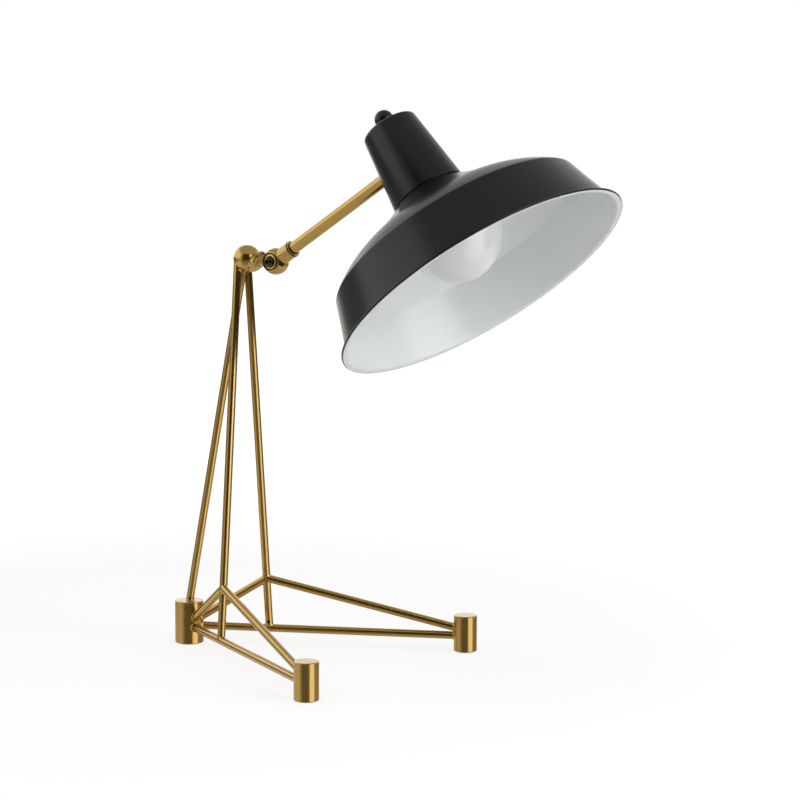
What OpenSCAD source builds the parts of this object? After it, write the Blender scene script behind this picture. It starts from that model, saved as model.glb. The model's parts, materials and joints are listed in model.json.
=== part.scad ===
// Bedside lamp: a braced rod base, a ball knuckle, a straight arm and a wide spun shade.
// Millimetres. The origin is on the floor under the middle of the rear foot.
// +X runs forward between the two far feet, +Y to the right foot and +Z up.

/* [Feet] */
// Diameter of the rear foot
rear_foot_d = 31; // [28:0.5:36]
// Height of the rear foot's top above the floor
rear_foot_h = 46.6; // [42:0.2:54]
// Diameter of the two far feet
far_foot_d = 25; // [22:0.5:30]
// Height of the far feet's tops above the floor
far_foot_h = 39.4; // [34:0.2:46]
// Chamfer round the ends of each foot
foot_edge = 0.7; // [0.3:0.1:1.5]
// Width of metal round each pad
pad_rim = 3; // [2:0.5:5]
// Depth of the pad's recess
pad_recess = 1.2; // [0.8:0.1:2]
// How far each pad stands out of its foot
pad_proud = 0.8; // [0.4:0.1:1.5]

/* [Base frame] */
// Length of a rail, from the rear foot's axis to the far foot's axis
rail_run = 301.4; // [260:1:330]
// Angle between the middle of the lamp and a rail
rail_spread = 27.5; // [22:0.5:33]
// Height of the rails' axes at the rear foot
rail_z_rear = 19.4; // [16:0.1:21]
// Height of the rails' axes at the far feet
rail_z_far = 16.9; // [14:0.1:18]
// Outer diameter of every rod
rod_d = 8.5; // [7.5:0.1:9]
// Wall of every rod
rod_wall = 1.3; // [1:0.1:1.8]
// Depth of the rails' sockets in the feet
socket_depth = 4; // [2:0.5:6]
// Distance along a rail from the rear foot's axis to the upright leg
post_run = 88.6; // [75:0.5:105]
// Height at which the braces meet an upright leg
brace_z = 74; // [68:0.5:82]
// Height of an outer brace's axis at the far foot's axis
outer_brace_z = 23.1; // [22.5:0.1:26]
// Height of an inner brace's axis at the rear foot's axis
inner_brace_z = 20.8; // [20:0.1:25]
// Gap between the legs where they meet the hub ball
leg_gap = 0.4; // [0.3:0.1:1.2]
// Diameter of the vent hole in each upright leg
vent_d = 3.5; // [2:0.1:4]
// Height of the vent hole above the rail's axis
vent_rise = 7.4; // [7:0.1:12]

/* [Cord inlet] */
// Height of the inlet above the floor
inlet_z = 12; // [11:0.5:14]
// Diameter of the grommet's flange
grommet_d = 9; // [8:0.1:11]
// Thickness of the grommet's flange
grommet_t = 1.4; // [1:0.1:2]
// Diameter of the grommet's body
grommet_body_d = 7; // [6:0.1:7.6]
// Length of the grommet's body inside the foot
grommet_body_l = 6; // [4:0.5:8]
// Diameter of the way for the wires
wire_d = 4; // [3:0.1:4.4]

/* [Knuckle] */
// Distance of the hub ball's centre in front of the rear foot's axis
hub_x = 82.4; // [76:0.2:92]
// Height of the hub ball's centre
hub_z = 419; // [360:1:480]
// Diameter of the hub ball
hub_d = 29.2; // [28:0.2:32]
// Distance of the legs' top ends behind the hub ball's centre
leg_back = 5.9; // [3:0.1:7]
// Drop of the legs' top ends below the hub ball's centre
leg_drop = 11; // [9:0.1:12]
// Distance between the centres of the two balls
link_run = 38.53; // [37.5:0.1:42]
// Fall of the link from the hub ball to the knuckle ball, in degrees
link_dip = 2.4; // [0:0.1:6]
// Diameter of the link's neck
neck_d = 16; // [13:0.2:18]
// Diameter of the link's spigot inside the hub ball
spigot_d = 8; // [6:0.1:10]
// Length of the link's spigot inside the hub ball
spigot_l = 9; // [6:0.5:11]
// Diameter of the slanted flange
flange_d = 24.5; // [20:0.1:26]
// Thickness of the slanted flange
flange_t = 3; // [2:0.1:3.4]
// Distance of the flange from the hub ball's centre, along the link
flange_x = 14.3; // [13:0.1:14.6]
// Drop of the flange's centre below the link's axis
flange_drop = 1.9; // [0:0.1:3]
// Slant of the flange's face, in degrees
flange_slant = 31.6; // [20:0.5:36]
// Thickness of the tongue
tongue_t = 7; // [5:0.1:8]
// Height of the tongue
tongue_h = 13; // [10:0.1:14]
// Thickness of a friction washer
washer_t = 0.5; // [0.3:0.1:0.8]
// Diameter of the friction washers
washer_d = 12.4; // [9:0.1:12.8]
// Diameter of the knuckle ball
knuckle_d = 27.8; // [27:0.1:29]
// Distance of the ball's flats from its middle
knuckle_flat = 10.4; // [10:0.1:11]
// Room round the tongue's end inside the slot
slot_room = 3.5; // [2:0.1:3.7]
// How far the arm can be raised from rest, in degrees
tilt_up = 45; // [20:1:50]
// How far the arm can be lowered from rest, in degrees
tilt_down = 50; // [20:1:55]
// Diameter of the pivot screw
pivot_d = 5.1; // [4:0.1:5.5]
// Diameter of the pivot screw's domed head
pivot_head_d = 12; // [9:0.1:13]
// Height of the pivot screw's domed head
pivot_head_h = 5.5; // [3:0.1:6]
// Width across the flats of the hex socket in the pivot screw
pivot_key = 4; // [3:0.1:5]
// Depth of the hex socket in the pivot screw
pivot_key_depth = 2.6; // [1.5:0.1:2.8]
// Outer diameter of the black ring round the pivot's face
pivot_ring_d = 18.8; // [17.5:0.1:19]
// Inner diameter of the black ring round the pivot's face
pivot_ring_bore = 16.2; // [14.5:0.1:16.8]
// Depth of the black ring's seat
pivot_ring_seat = 1; // [0.5:0.1:1.5]
// How far the black ring stands out of the ball's flat
pivot_ring_proud = 0.6; // [0.2:0.1:1]
// Width across the flats of the pivot nut
pivot_nut_af = 8; // [7.5:0.1:9]
// Height of the pivot nut
pivot_nut_h = 3.2; // [2.5:0.1:3.8]
// Depth of the pivot nut's face below the ball's flat
pivot_nut_recess = 0.2; // [0:0.1:0.6]
// Diameter of the pivot nut's counterbore
counterbore_d = 11; // [10.6:0.1:12]

/* [Arm] */
// Rise of the arm above level, in degrees
arm_rise = 31.74; // [20:0.1:36]
// Distance from the knuckle ball's centre to the shade's axis
arm_reach = 198.1; // [185:1:240]
// Diameter of the arm
arm_d = 12.7; // [11.5:0.1:13]
// Bore of the arm
arm_bore = 10; // [9:0.1:10.2]
// Diameter of the collar
collar_d = 17.3; // [16.6:0.1:18]
// Distance of the collar's mouth from the ball's centre
collar_end = 26.9; // [24.5:0.1:30]
// Distance of the collar bore's floor from the ball's centre
collar_floor = 12; // [11.5:0.1:13]
// Width of the collar's lip beyond the black ring
collar_lip = 1.1; // [0.8:0.1:2]
// Thickness of the black ring in the collar's groove
collar_ring_t = 1.2; // [1:0.1:2]
// Depth of the black ring's groove
collar_ring_depth = 1.1; // [0.8:0.05:1.2]
// How far the black ring's edge lies inside the collar's
collar_ring_inset = 0.15; // [0:0.05:0.5]
// Length of the spigot's tenon inside the arm
tenon_l = 15; // [8:0.5:25]
// Diameter of the collar's grub screw
grub_d = 4; // [3:0.1:4.5]
// Depth of the grub screw's end below the collar's surface
grub_recess = 0.2; // [0.1:0.1:0.6]
// Depth of the hex sockets in the grub screws
grub_key_depth = 1.5; // [1:0.1:2]
// Depth of the grub screw's groove in the spigot
groove_depth = 1.6; // [1:0.1:2]
// Width of the stop that is left in the groove
groove_stop = 4; // [2:0.1:5]

/* [Neck and switch] */
// Angle of the shade's axis below level
head_dip = 53.2; // [48:0.1:58]
// Distance of the arm's axis from the shade's mouth, along the shade's axis
arm_s = 149; // [146:0.5:154]
// Distance of the neck's lower edge from the shade's mouth
neck_low_s = 108.5; // [107:0.5:112]
// Distance of the neck's top from the shade's mouth
neck_top_s = 191; // [188:0.5:200]
// Radius of the neck at its lower edge
neck_low_r = 38.5; // [38:0.1:40]
// Radius of the neck's cone at its top
neck_top_r = 28.7; // [28:0.1:32]
// Radius of the neck's rounded top edge
neck_corner = 4; // [2:0.5:6]
// Wall of the neck
neck_wall = 1.5; // [1:0.1:1.8]
// Thickness of the neck's inner flange
neck_flange_t = 2.5; // [1.5:0.1:4]
// Outer diameter of the threaded nipple between arm and neck
nipple_d = 9.9; // [8.8:0.1:9.9]
// Bore of the threaded nipple
nipple_bore = 7; // [5:0.1:7.5]
// Length of the nipple inside the arm
nipple_in_arm = 15; // [8:0.5:25]
// Width across the flats of the nipple nut
nipple_nut_af = 14; // [12.5:0.1:15]
// Height of the nipple nut
nipple_nut_h = 3.2; // [2:0.1:4]
// Diameter of the nipple washer
nipple_washer_d = 16; // [14:0.1:17]
// Thickness of the nipple washer
nipple_washer_t = 1; // [0.6:0.1:1.4]
// Diameter of the switch body
switch_d = 22; // [16:0.5:26]
// Height of the switch body
switch_h = 16; // [12:0.5:18]
// Diameter of the switch's threaded bush
bush_d = 7; // [6:0.1:7.4]
// Width across the flats of the switch nut
switch_nut_af = 9.6; // [9:0.1:10.4]
// Height of the switch nut
switch_nut_h = 2; // [1.5:0.1:2.2]
// Diameter of the switch shaft
shaft_d = 4; // [3:0.1:4.5]
// Length of the switch shaft inside the switch body
shaft_in_body = 5; // [3:0.5:8]
// Height of the switch shaft's end above the knob's centre
shaft_rise = 4; // [2:0.5:6]
// Depth of the flat on the switch shaft
shaft_flat = 0.4; // [0.2:0.1:0.8]
// Diameter of the ball knob
knob_d = 19.5; // [18:0.1:24]
// Height of the ball knob's centre above the neck's top
knob_rise = 9.4; // [8.8:0.1:12]
// Gap between the knob and the switch nut
knob_gap = 0.4; // [0.3:0.1:0.6]
// Diameter of the knob's grub screw
knob_screw_d = 3; // [2:0.1:3.4]
// Drop of the knob's grub screw below the knob's centre
knob_screw_drop = 2.5; // [1.5:0.1:3.5]
// Depth of the knob's grub screw below the knob's surface
knob_screw_recess = 1.4; // [1:0.1:2]

/* [Shade] */
// Radius of the shade's mouth
rim_r = 157.3; // [145:0.1:170]
// Radius of the skirt where the lip begins
lip_r = 151.2; // [140:0.1:153]
// Distance of the flat lip's face from the mouth
lip_s = 0.4; // [0.1:0.1:0.9]
// Radius of the bend between skirt and lip, outside
lip_bend_r = 1.7; // [1:0.1:2.5]
// Diameter of the rolled bead at the rim
bead_d = 2.8; // [2.4:0.1:3.6]
// Radius of the shoulder between skirt and dome
shoulder_r = 134.6; // [125:0.5:139]
// Distance of the shoulder from the mouth
shoulder_s = 54; // [45:0.5:60]
// Radius at which the dome turns from round to hollow
bend_r = 93; // [85:0.5:100]
// Distance of that turn from the mouth
bend_s = 79; // [74:0.5:83]
// Radius of the flat top of the shade
crown_r = 44.6; // [43.5:0.1:48]
// Distance of the shade's flat top from the mouth
crown_s = 103.2; // [101:0.1:104.5]
// How far the skirt is bowed inwards
skirt_bow = 0.2; // [0:0.1:3]
// How far the dome is bowed outwards
dome_bow = 2.3; // [0:0.1:5]
// How far the dome's upper part is hollowed
flare_bow = 1.2; // [0:0.1:3]
// Thickness of the shade's sheet
shade_t = 1; // [0.8:0.1:1.8]
// Radius of the hole in the shade's top, the ring and the neck's flange
throat_r = 27; // [26:0.5:28.5]
// Radius at which the ring's flare meets the neck
ring_top_r = 37.6; // [36:0.1:38]
// How far the ring's flare is hollowed
ring_bow = 0.8; // [0:0.1:1.2]
// Distance of the shade screws from the shade's axis
screw_ring_r = 32; // [31.5:0.1:33.5]
// Diameter of the shade screws
shade_screw_d = 3; // [2:0.1:3.5]
// Diameter of the shade screws' heads
shade_screw_head_d = 5.6; // [4.5:0.1:6]
// Height of the shade screws' heads
shade_screw_head_h = 1.8; // [1:0.1:2.4]

/* [Lampholder and bulb] */
// Radius of the lampholder
holder_r = 19.5; // [18:0.1:20.5]
// Distance of the lampholder's mouth from the shade's mouth
holder_low_s = 116; // [114:0.5:118]
// Distance of the lampholder's top from the shade's mouth
holder_top_s = 160; // [158.5:0.5:162]
// Chamfer round the lampholder's top
holder_edge = 3; // [1:0.5:4]
// Thickness of the holder bracket
bracket_t = 1.6; // [1.2:0.1:2.2]
// Width of the holder bracket
bracket_w = 16; // [14:0.5:20]
// Length of the bracket below the nipple
bracket_drop = 9; // [8:0.5:12]
// Distance of the holder screws from the shade's axis
holder_screw_x = 10; // [8:0.5:12]
// Diameter of the holder screws
holder_screw_d = 3; // [2.5:0.1:4]
// Diameter of the holder screws' heads
holder_screw_head_d = 6; // [5:0.1:7]
// Width of the screwdriver slots
slot_cut = 0.8; // [0.6:0.1:1.2]
// Height of the holder screws' heads
holder_screw_head_h = 2.4; // [1.5:0.1:3]
// Length of the holder screws in the lampholder
holder_screw_l = 6; // [4:0.5:8]
// Diameter of the bulb's globe
globe_d = 95; // [80:1:98]
// Distance of the bulb's front from the shade's mouth
globe_front_s = 11; // [6:0.5:26]
// Radius of the glass neck
glass_neck_r = 14.8; // [14:0.1:15.4]
// Radius of the hollow between globe and glass neck
glass_fillet = 14; // [8:0.5:18]
// Thickness of the glass
glass_t = 1; // [0.8:0.1:1.5]
// Radius of the bulb's cap
cap_r = 13; // [12.6:0.1:13.1]
// Length of the bulb's cap
cap_l = 26; // [24:0.5:28]
// Thickness of the cap's sheet
cap_wall = 0.6; // [0.4:0.1:0.8]
// Height of the cone at the cap's end
cap_cone_h = 2.5; // [1.5:0.5:4]
// Depth of the glass stem inside the cap
stem_l = 4; // [2:0.5:8]
// Distance of the cap's lower edge from the shade's mouth
cap_low_s = 119; // [118:0.1:120]
// Radius of the bulb's contact
contact_r = 4.5; // [3:0.1:6]
// Height of the bulb's contact
contact_h = 2.3; // [1:0.1:3]
// Width of the ledge round the bulb's contact
contact_ledge = 1; // [0.5:0.1:2]
// Thickness of the lampholder's centre contact
contact_plate_t = 2.7; // [1:0.1:3]
// Inner radius of the lampholder's threaded shell
shell_r = 13.3; // [13.2:0.1:13.6]
// Wall of the lampholder's threaded shell
shell_t = 0.6; // [0.4:0.1:0.8]
// Distance of the threaded shell from the wide part of the mouth
shell_setback = 2; // [1:0.5:4]
// Room round the glass neck in the lampholder's mouth
mouth_room = 1.7; // [1:0.1:2.5]
// Depth of the wide part of the lampholder's mouth
mouth_depth = 6; // [5:0.5:8]

/* [Fits] */
// Radial clearance of pieces that turn in each other
run_fit = 0.05; // [0.03:0.01:0.1]
// Radial clearance of pieces that are fixed in each other
seat_fit = 0.05; // [0.02:0.01:0.1]
// Radial clearance of screws in plain holes
hole_fit = 0.15; // [0.1:0.05:0.3]
// Gap between the friction washers and the slot's cheeks
cheek_gap = 0.06; // [0.05:0.01:0.2]
// Gap between a turning end and what lies behind it
end_gap = 0.5; // [0.3:0.1:0.8]
// Room between the bracket and the neck's round wall
wall_room = 0.25; // [0.2:0.05:0.5]

/* [Hidden] */

$fn = 72;
// Steps along each bowed line and each rounded corner
bow_steps = 8;
corner_steps = 6;
// Length by which a cut runs past the face that it opens
past = 1;
// Hexagons have six sides
hex = 6;

// Sides of the lamp: the front foot is at -Y and the right foot at +Y
front = -1;
right = 1;

rod_bore = rod_d - 2 * rod_wall;
leg_pitch = rod_d + leg_gap;
hub_c = [hub_x, 0, hub_z];
ball_c = hub_c + link_run * [cos(link_dip), 0, -sin(link_dip)];
collar_bore = arm_d + 2 * run_fit;
slot_w = tongue_t + 2 * (washer_t + cheek_gap);
slot_end_r = tongue_h / 2 + slot_room;
spigot_low = collar_floor + end_gap;
collar_ring_s = collar_end - collar_lip - collar_ring_t;
tube_low = collar_end - collar_lip;
grub_at = (spigot_low + tube_low) / 2;
groove_w = grub_d + 2 * end_gap;
groove_r = arm_d / 2 - groove_depth;

// The arm's line and the shade's axis
arm_v = [cos(arm_rise), 0, sin(arm_rise)];
look_v = [cos(head_dip), 0, -sin(head_dip)];
head_c = ball_c + arm_reach * arm_v + arm_s * look_v;
// Angle by which the arm misses a square meeting with the shade's axis
arm_skew = 90 - arm_rise - head_dip;

// The neck's cone: its fall in radius per millimetre, and its half angle
neck_taper = (neck_low_r - neck_top_r) / (neck_top_s - neck_low_s);
neck_half = atan(neck_taper);
neck_wall_r = neck_wall / cos(neck_half);
// Angle between the skirt and the shade's axis
skirt_lean = atan2(lip_r - shoulder_r, shoulder_s - lip_s - shade_t - lip_bend_r);
// Distances from the shade's axis, back along the arm, to the neck's wall outside and inside
wall_out = neck_r(arm_s) / (cos(arm_skew) + neck_taper * sin(arm_skew));
wall_in = (neck_r(arm_s) - neck_wall_r) / (cos(arm_skew) + neck_taper * sin(arm_skew));
// A flat bracket touches the round wall at its two edges
wall_sag = wall_in - sqrt(wall_in * wall_in - bracket_w * bracket_w / 4);
bracket_out = wall_in - wall_sag - wall_room;
bracket_in = bracket_out - bracket_t;
washer_in = bracket_in - nipple_washer_t;
nut_in = washer_in - nipple_nut_h;
nipple_end = nut_in - past;

globe_r = globe_d / 2;
globe_s = globe_front_s + globe_r;
fillet_s = globe_s + sqrt(pow(globe_r + glass_fillet, 2) - pow(glass_neck_r + glass_fillet, 2));
fillet_angle = atan2(fillet_s - globe_s, glass_neck_r + glass_fillet);
cap_top_s = cap_low_s + cap_l;
contact_top_s = cap_top_s + contact_h;
shell_low_s = holder_low_s + mouth_depth + shell_setback;
holder_floor_s = contact_top_s + contact_plate_t;
switch_low_s = neck_top_s - neck_wall - switch_h;
knob_s = neck_top_s + knob_rise;
knob_base_s = neck_top_s + switch_nut_h + knob_gap;
shaft_low_s = neck_top_s - neck_wall - shaft_in_body;
shaft_top_s = knob_s + shaft_rise;
knob_screw_s = knob_s - knob_screw_drop;

// The inlet's flat seat lies a little deeper than where the foot is as wide as the flange
grommet_face_x = end_gap - sqrt(pow(rear_foot_d / 2, 2) - pow(grommet_d / 2 + hole_fit, 2));

// Height of a rail's axis at a distance from the rear foot's axis
function rail_z(run) = rail_z_rear + (rail_z_far - rail_z_rear) * run / rail_run;
// Point on a rail's axis, or at another height above it
function rail_at(side, run, z) = [run * cos(rail_spread), side * run * sin(rail_spread), z];
// Where a leg meets the hub ball
function leg_top(side) = hub_c + [-leg_back, side * leg_pitch, -leg_drop];
function leg_foot(side) = side == 0 ? [0, 0, rear_foot_h - socket_depth] : rail_at(side, post_run, rail_z(post_run));
// Point on an upright leg at a height
function leg_at(side, z) =
    let (a = leg_foot(side), b = leg_top(side)) a + (b - a) * (z - a[2]) / (b[2] - a[2]);
// Point at a distance beyond a, towards b
function along(a, b, d) = a + (b - a) / norm(b - a) * d;
// Radius of the neck's cone outside
function neck_r(s) = neck_low_r - neck_taper * (s - neck_low_s);
// Right-hand normal of a flat vector
function side_of(v) = [v[1], -v[0]] / norm(v);
// Points from a up to b, without b, bowed to the right by bow
function bowed(a, b, bow) = [for (i = [0:bow_steps - 1]) let (u = i / bow_steps)
    a + u * (b - a) + 4 * bow * u * (1 - u) * side_of(b - a)];
// The points of an outline moved to the left by t
function inset(pts, t) = let (last = len(pts) - 1) [for (i = [0:last])
    pts[i] - t * side_of(pts[min(i + 1, last)] - pts[max(i - 1, 0)])];
function backwards(pts) = [for (i = [len(pts) - 1:-1:0]) pts[i]];
// Points of a round corner about [r, s] between two angles
function corner(r, s, radius, from, to) = [for (i = [0:corner_steps])
    let (a = from + (to - from) * i / corner_steps) [r + radius * cos(a), s + radius * sin(a)]];
// A point in the head's middle plane, from its place along and across the arm
function from_arm(t, h) =
    [-t * cos(arm_skew) + h * sin(arm_skew), arm_s + t * sin(arm_skew) + h * cos(arm_skew)];
// How far across the arm a line at distance t reaches the height s
function across_to(t, s) = (s - arm_s - t * sin(arm_skew)) / cos(arm_skew);

// Round bar between two points
module bar(a, b, d) {
    v = b - a;
    translate(a) rotate([0, acos(v[2] / norm(v)), atan2(v[1], v[0])]) cylinder(d = d, h = norm(v));
}

// Hollow rod between two points
module tube(a, b) {
    difference() {
        bar(a, b, rod_d);
        bar(along(a, b, -past), along(b, a, -past), rod_bore);
    }
}

// Places: along the link, along the arm, and about the shade's axis
module at_link() translate(hub_c) rotate([0, link_dip, 0]) children();
module at_ball() translate(ball_c) children();
module at_arm() translate(ball_c) rotate([0, 90 - arm_rise, 0]) children();
module at_head() translate(head_c) rotate([0, head_dip - 90, 0]) children();

// Flat shape in the plane of X and Z, as thick as w about the middle
module slab(w) rotate([90, 0, 0]) linear_extrude(height = w, center = true) children();

module hub_sphere(d = hub_d) translate(hub_c) sphere(d = d);

// Solid rail, from socket to socket, with room round it
module rail_bar(side, room) {
    start = rear_foot_d / 2 - socket_depth - room;
    end = rail_run - far_foot_d / 2 + socket_depth + room;
    bar(rail_at(side, start, rail_z(start)), rail_at(side, end, rail_z(end)), rod_d + 2 * room);
}

module foot_blank(d, h) {
    seat = pad_proud + pad_recess;
    rotate_extrude() polygon([
        [0, seat], [d / 2 - pad_rim, seat], [d / 2 - pad_rim, pad_proud],
        [d / 2 - foot_edge, pad_proud], [d / 2, pad_proud + foot_edge],
        [d / 2, h - foot_edge], [d / 2 - foot_edge, h], [0, h]]);
}

module rear_foot() color("goldenrod") difference() {
    foot_blank(rear_foot_d, rear_foot_h);
    rail_bar(front, seat_fit);
    rail_bar(right, seat_fit);
    bar(leg_foot(0) - [0, 0, seat_fit], leg_top(0), rod_d + 2 * seat_fit);
    // Wire way up the middle, and the inlet from the back with its flat seat
    translate([0, 0, inlet_z - rod_bore / 2]) cylinder(d = rod_bore, h = rear_foot_h - inlet_z);
    translate([0, 0, inlet_z]) rotate([0, -90, 0])
        cylinder(d = wire_d, h = past - grommet_face_x - grommet_body_l);
    translate([grommet_face_x, 0, inlet_z]) rotate([0, -90, 0])
        cylinder(d = grommet_d + 2 * hole_fit, h = rear_foot_d);
    translate([grommet_face_x + grommet_body_l + seat_fit, 0, inlet_z]) rotate([0, -90, 0])
        cylinder(d = grommet_body_d + 2 * seat_fit, h = rear_foot_d / 2);
}

module cord_grommet() color("dimgray") translate([grommet_face_x, 0, inlet_z]) rotate([0, -90, 0])
difference() {
    union() {
        cylinder(d = grommet_d, h = grommet_t);
        translate([0, 0, -grommet_body_l]) cylinder(d = grommet_body_d, h = grommet_body_l + grommet_t / 2);
    }
    translate([0, 0, -grommet_body_l - past]) cylinder(d = wire_d, h = grommet_body_l + grommet_t + 2 * past);
}

module far_foot(side) color("goldenrod") difference() {
    translate(rail_at(side, rail_run, 0)) foot_blank(far_foot_d, far_foot_h);
    rail_bar(side, seat_fit);
}
module front_foot() far_foot(front);
module right_foot() far_foot(right);

module foot_pad(d) cylinder(d = d - 2 * pad_rim - 2 * seat_fit, h = pad_proud + pad_recess);
module foot_pads() color("dimgray") {
    foot_pad(rear_foot_d);
    for (side = [front, right]) translate(rail_at(side, rail_run, 0)) foot_pad(far_foot_d);
}

module rail(side) color("goldenrod") difference() {
    rail_bar(side, 0);
    bar(rail_at(side, 0, rail_z(0)), rail_at(side, rail_run, rail_z(rail_run)), rod_bore);
}
module front_rail() rail(front);
module right_rail() rail(right);

// A leg runs up to the hub ball, whose surface it is cut to fit
module leg_tube(side) {
    top = leg_top(side);
    foot = leg_foot(side);
    tube(side == 0 ? foot : along(foot, top, past), along(top, foot, -leg_drop + past));
}
module rear_leg() color("goldenrod") difference() {
    leg_tube(0);
    hub_sphere();
}
module upright_leg(side) color("goldenrod") difference() {
    leg_tube(side);
    hub_sphere();
    rail_bar(side, 0);
    // Vent hole on the side that faces the other leg
    vent = leg_at(side, rail_z(post_run) + vent_rise);
    bar(vent, vent + rod_d * [sin(rail_spread), -side * cos(rail_spread), 0], vent_d);
}
module front_leg() upright_leg(front);
module right_leg() upright_leg(right);

// A brace is cut to fit the leg, the rail and the foot that it meets
module brace(side, foot_run, foot_d, foot_h, z) color("goldenrod") {
    top = leg_at(side, brace_z);
    low = rail_at(side, foot_run, z);
    difference() {
        tube(along(top, low, past), low);
        bar(leg_foot(side), leg_top(side), rod_d);
        rail_bar(side, 0);
        translate(rail_at(side, foot_run, 0)) cylinder(d = foot_d, h = foot_h);
    }
}
module outer_brace(side) brace(side, rail_run, far_foot_d, far_foot_h, outer_brace_z);
module inner_brace(side) brace(side, 0, rear_foot_d, rear_foot_h, inner_brace_z);
module front_outer_brace() outer_brace(front);
module right_outer_brace() outer_brace(right);
module front_inner_brace() inner_brace(front);
module right_inner_brace() inner_brace(right);

module hub_ball() color("goldenrod") difference() {
    hub_sphere();
    // Wire way from the rear leg, and the blind hole for the link's spigot
    bar(leg_top(0), hub_c, rod_bore);
    at_link() translate([hub_d / 2 - spigot_l - end_gap, 0, 0]) rotate([0, 90, 0])
        cylinder(d = spigot_d + 2 * seat_fit, h = spigot_l + hub_d);
    at_link() rotate([0, 90, 0]) cylinder(d = wire_d, h = hub_d / 2);
}

module knuckle_link() color("goldenrod") difference() {
    union() {
        difference() {
            union() {
                at_link() rotate([0, 90, 0]) cylinder(d = neck_d, h = flange_x);
                at_link() intersection() {
                    rotate([0, 90, 0]) cylinder(d = neck_d, h = link_run);
                    translate([flange_x, 0, -flange_drop]) rotate([0, 90 + flange_slant, 0])
                        translate([0, 0, -hub_d]) cylinder(d = 2 * hub_d, h = hub_d);
                }
                // Flange and the flare behind it
                at_link() translate([flange_x, 0, -flange_drop]) rotate([0, 90 + flange_slant, 0]) {
                    translate([0, 0, -flange_t / 2]) cylinder(d = flange_d, h = flange_t);
                    translate([0, 0, -flange_t / 2 - hub_d / 3])
                        cylinder(d1 = neck_d / 2, d2 = flange_d - flange_t, h = hub_d / 3);
                }
                // Tongue with its round end about the pivot
                at_link() translate([flange_x, -tongue_t / 2, -tongue_h / 2])
                    cube([link_run - flange_x, tongue_t, tongue_h]);
                at_ball() rotate([90, 0, 0]) cylinder(d = tongue_h, h = tongue_t, center = true);
            }
            hub_sphere();
        }
        at_link() translate([hub_d / 2 - spigot_l, 0, 0]) rotate([0, 90, 0]) cylinder(d = spigot_d, h = spigot_l);
    }
    // Wire way along the neck, out on top of the tongue
    at_link() rotate([0, 90, 0]) cylinder(d = wire_d, h = flange_x + past);
    bar(hub_c + flange_x * [1, 0, 0], ball_c + [-slot_end_r - past, 0, tongue_h / 2 + past], wire_d);
    at_ball() rotate([90, 0, 0]) cylinder(d = pivot_d + 2 * run_fit, h = tongue_t + 2 * past, center = true);
}

module tongue_washers() color("dimgray") at_ball() for (turn = [90, -90]) rotate([turn, 0, 0])
    translate([0, 0, tongue_t / 2]) difference() {
        cylinder(d = washer_d, h = washer_t);
        translate([0, 0, -past]) cylinder(d = pivot_d + 2 * run_fit, h = washer_t + 2 * past);
    }

// Room that the tongue needs in the ball while the ball tilts about it
module slot_shape() {
    half = tongue_h / 2 + end_gap;
    back = 180 - link_dip;
    from = back - tilt_up;
    to = back + tilt_down;
    out = knuckle_d;
    circle(r = slot_end_r);
    polygon([
        half * [sin(from), -cos(from)],
        half * [sin(from), -cos(from)] + out * [cos(from), sin(from)],
        out * [cos(back), sin(back)] * 2,
        half * [-sin(to), cos(to)] + out * [cos(to), sin(to)],
        half * [-sin(to), cos(to)]]);
}

module knuckle_ball() color("goldenrod") difference() {
    union() {
        difference() {
            at_ball() sphere(d = knuckle_d);
            at_ball() for (turn = [90, -90]) rotate([turn, 0, 0])
                translate([-knuckle_d, -knuckle_d, knuckle_flat]) cube(2 * knuckle_d);
        }
        at_arm() cylinder(d = collar_d, h = collar_end);
    }
    at_ball() slab(slot_w) slot_shape();
    at_arm() translate([0, 0, collar_floor]) cylinder(d = collar_bore, h = collar_end);
    at_arm() translate([0, 0, slot_end_r - past]) cylinder(d = wire_d, h = collar_floor);
    at_ball() rotate([90, 0, 0]) cylinder(d = pivot_d + 2 * run_fit, h = knuckle_d, center = true);
    // Seat of the black ring on the near side, counterbore of the nut on the far side
    at_ball() rotate([90, 0, 0]) translate([0, 0, knuckle_flat - pivot_ring_seat]) difference() {
        cylinder(d = knuckle_d, h = pivot_ring_seat + past);
        translate([0, 0, -past]) cylinder(d = pivot_ring_bore - 2 * seat_fit, h = pivot_ring_seat + 3 * past);
    }
    at_ball() rotate([-90, 0, 0]) translate([0, 0, knuckle_flat - pivot_nut_h - pivot_nut_recess])
        cylinder(d = counterbore_d, h = knuckle_d);
    // Threaded hole of the grub screw
    at_arm() translate([0, 0, grub_at]) rotate([-90, 0, 0]) cylinder(d = grub_d, h = collar_d);
    // Groove of the black ring near the collar's mouth
    at_arm() translate([0, 0, collar_ring_s]) difference() {
        cylinder(d = collar_d + 2 * past, h = collar_ring_t);
        translate([0, 0, -past]) cylinder(d = collar_d - 2 * collar_ring_depth, h = collar_ring_t + 2 * past);
    }
}

module pivot_ring() color("black") at_ball() rotate([90, 0, 0])
translate([0, 0, knuckle_flat - pivot_ring_seat]) difference() {
    cylinder(d = pivot_ring_d, h = pivot_ring_seat + pivot_ring_proud);
    translate([0, 0, -past]) cylinder(d = pivot_ring_bore, h = pivot_ring_seat + pivot_ring_proud + 2 * past);
}

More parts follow.
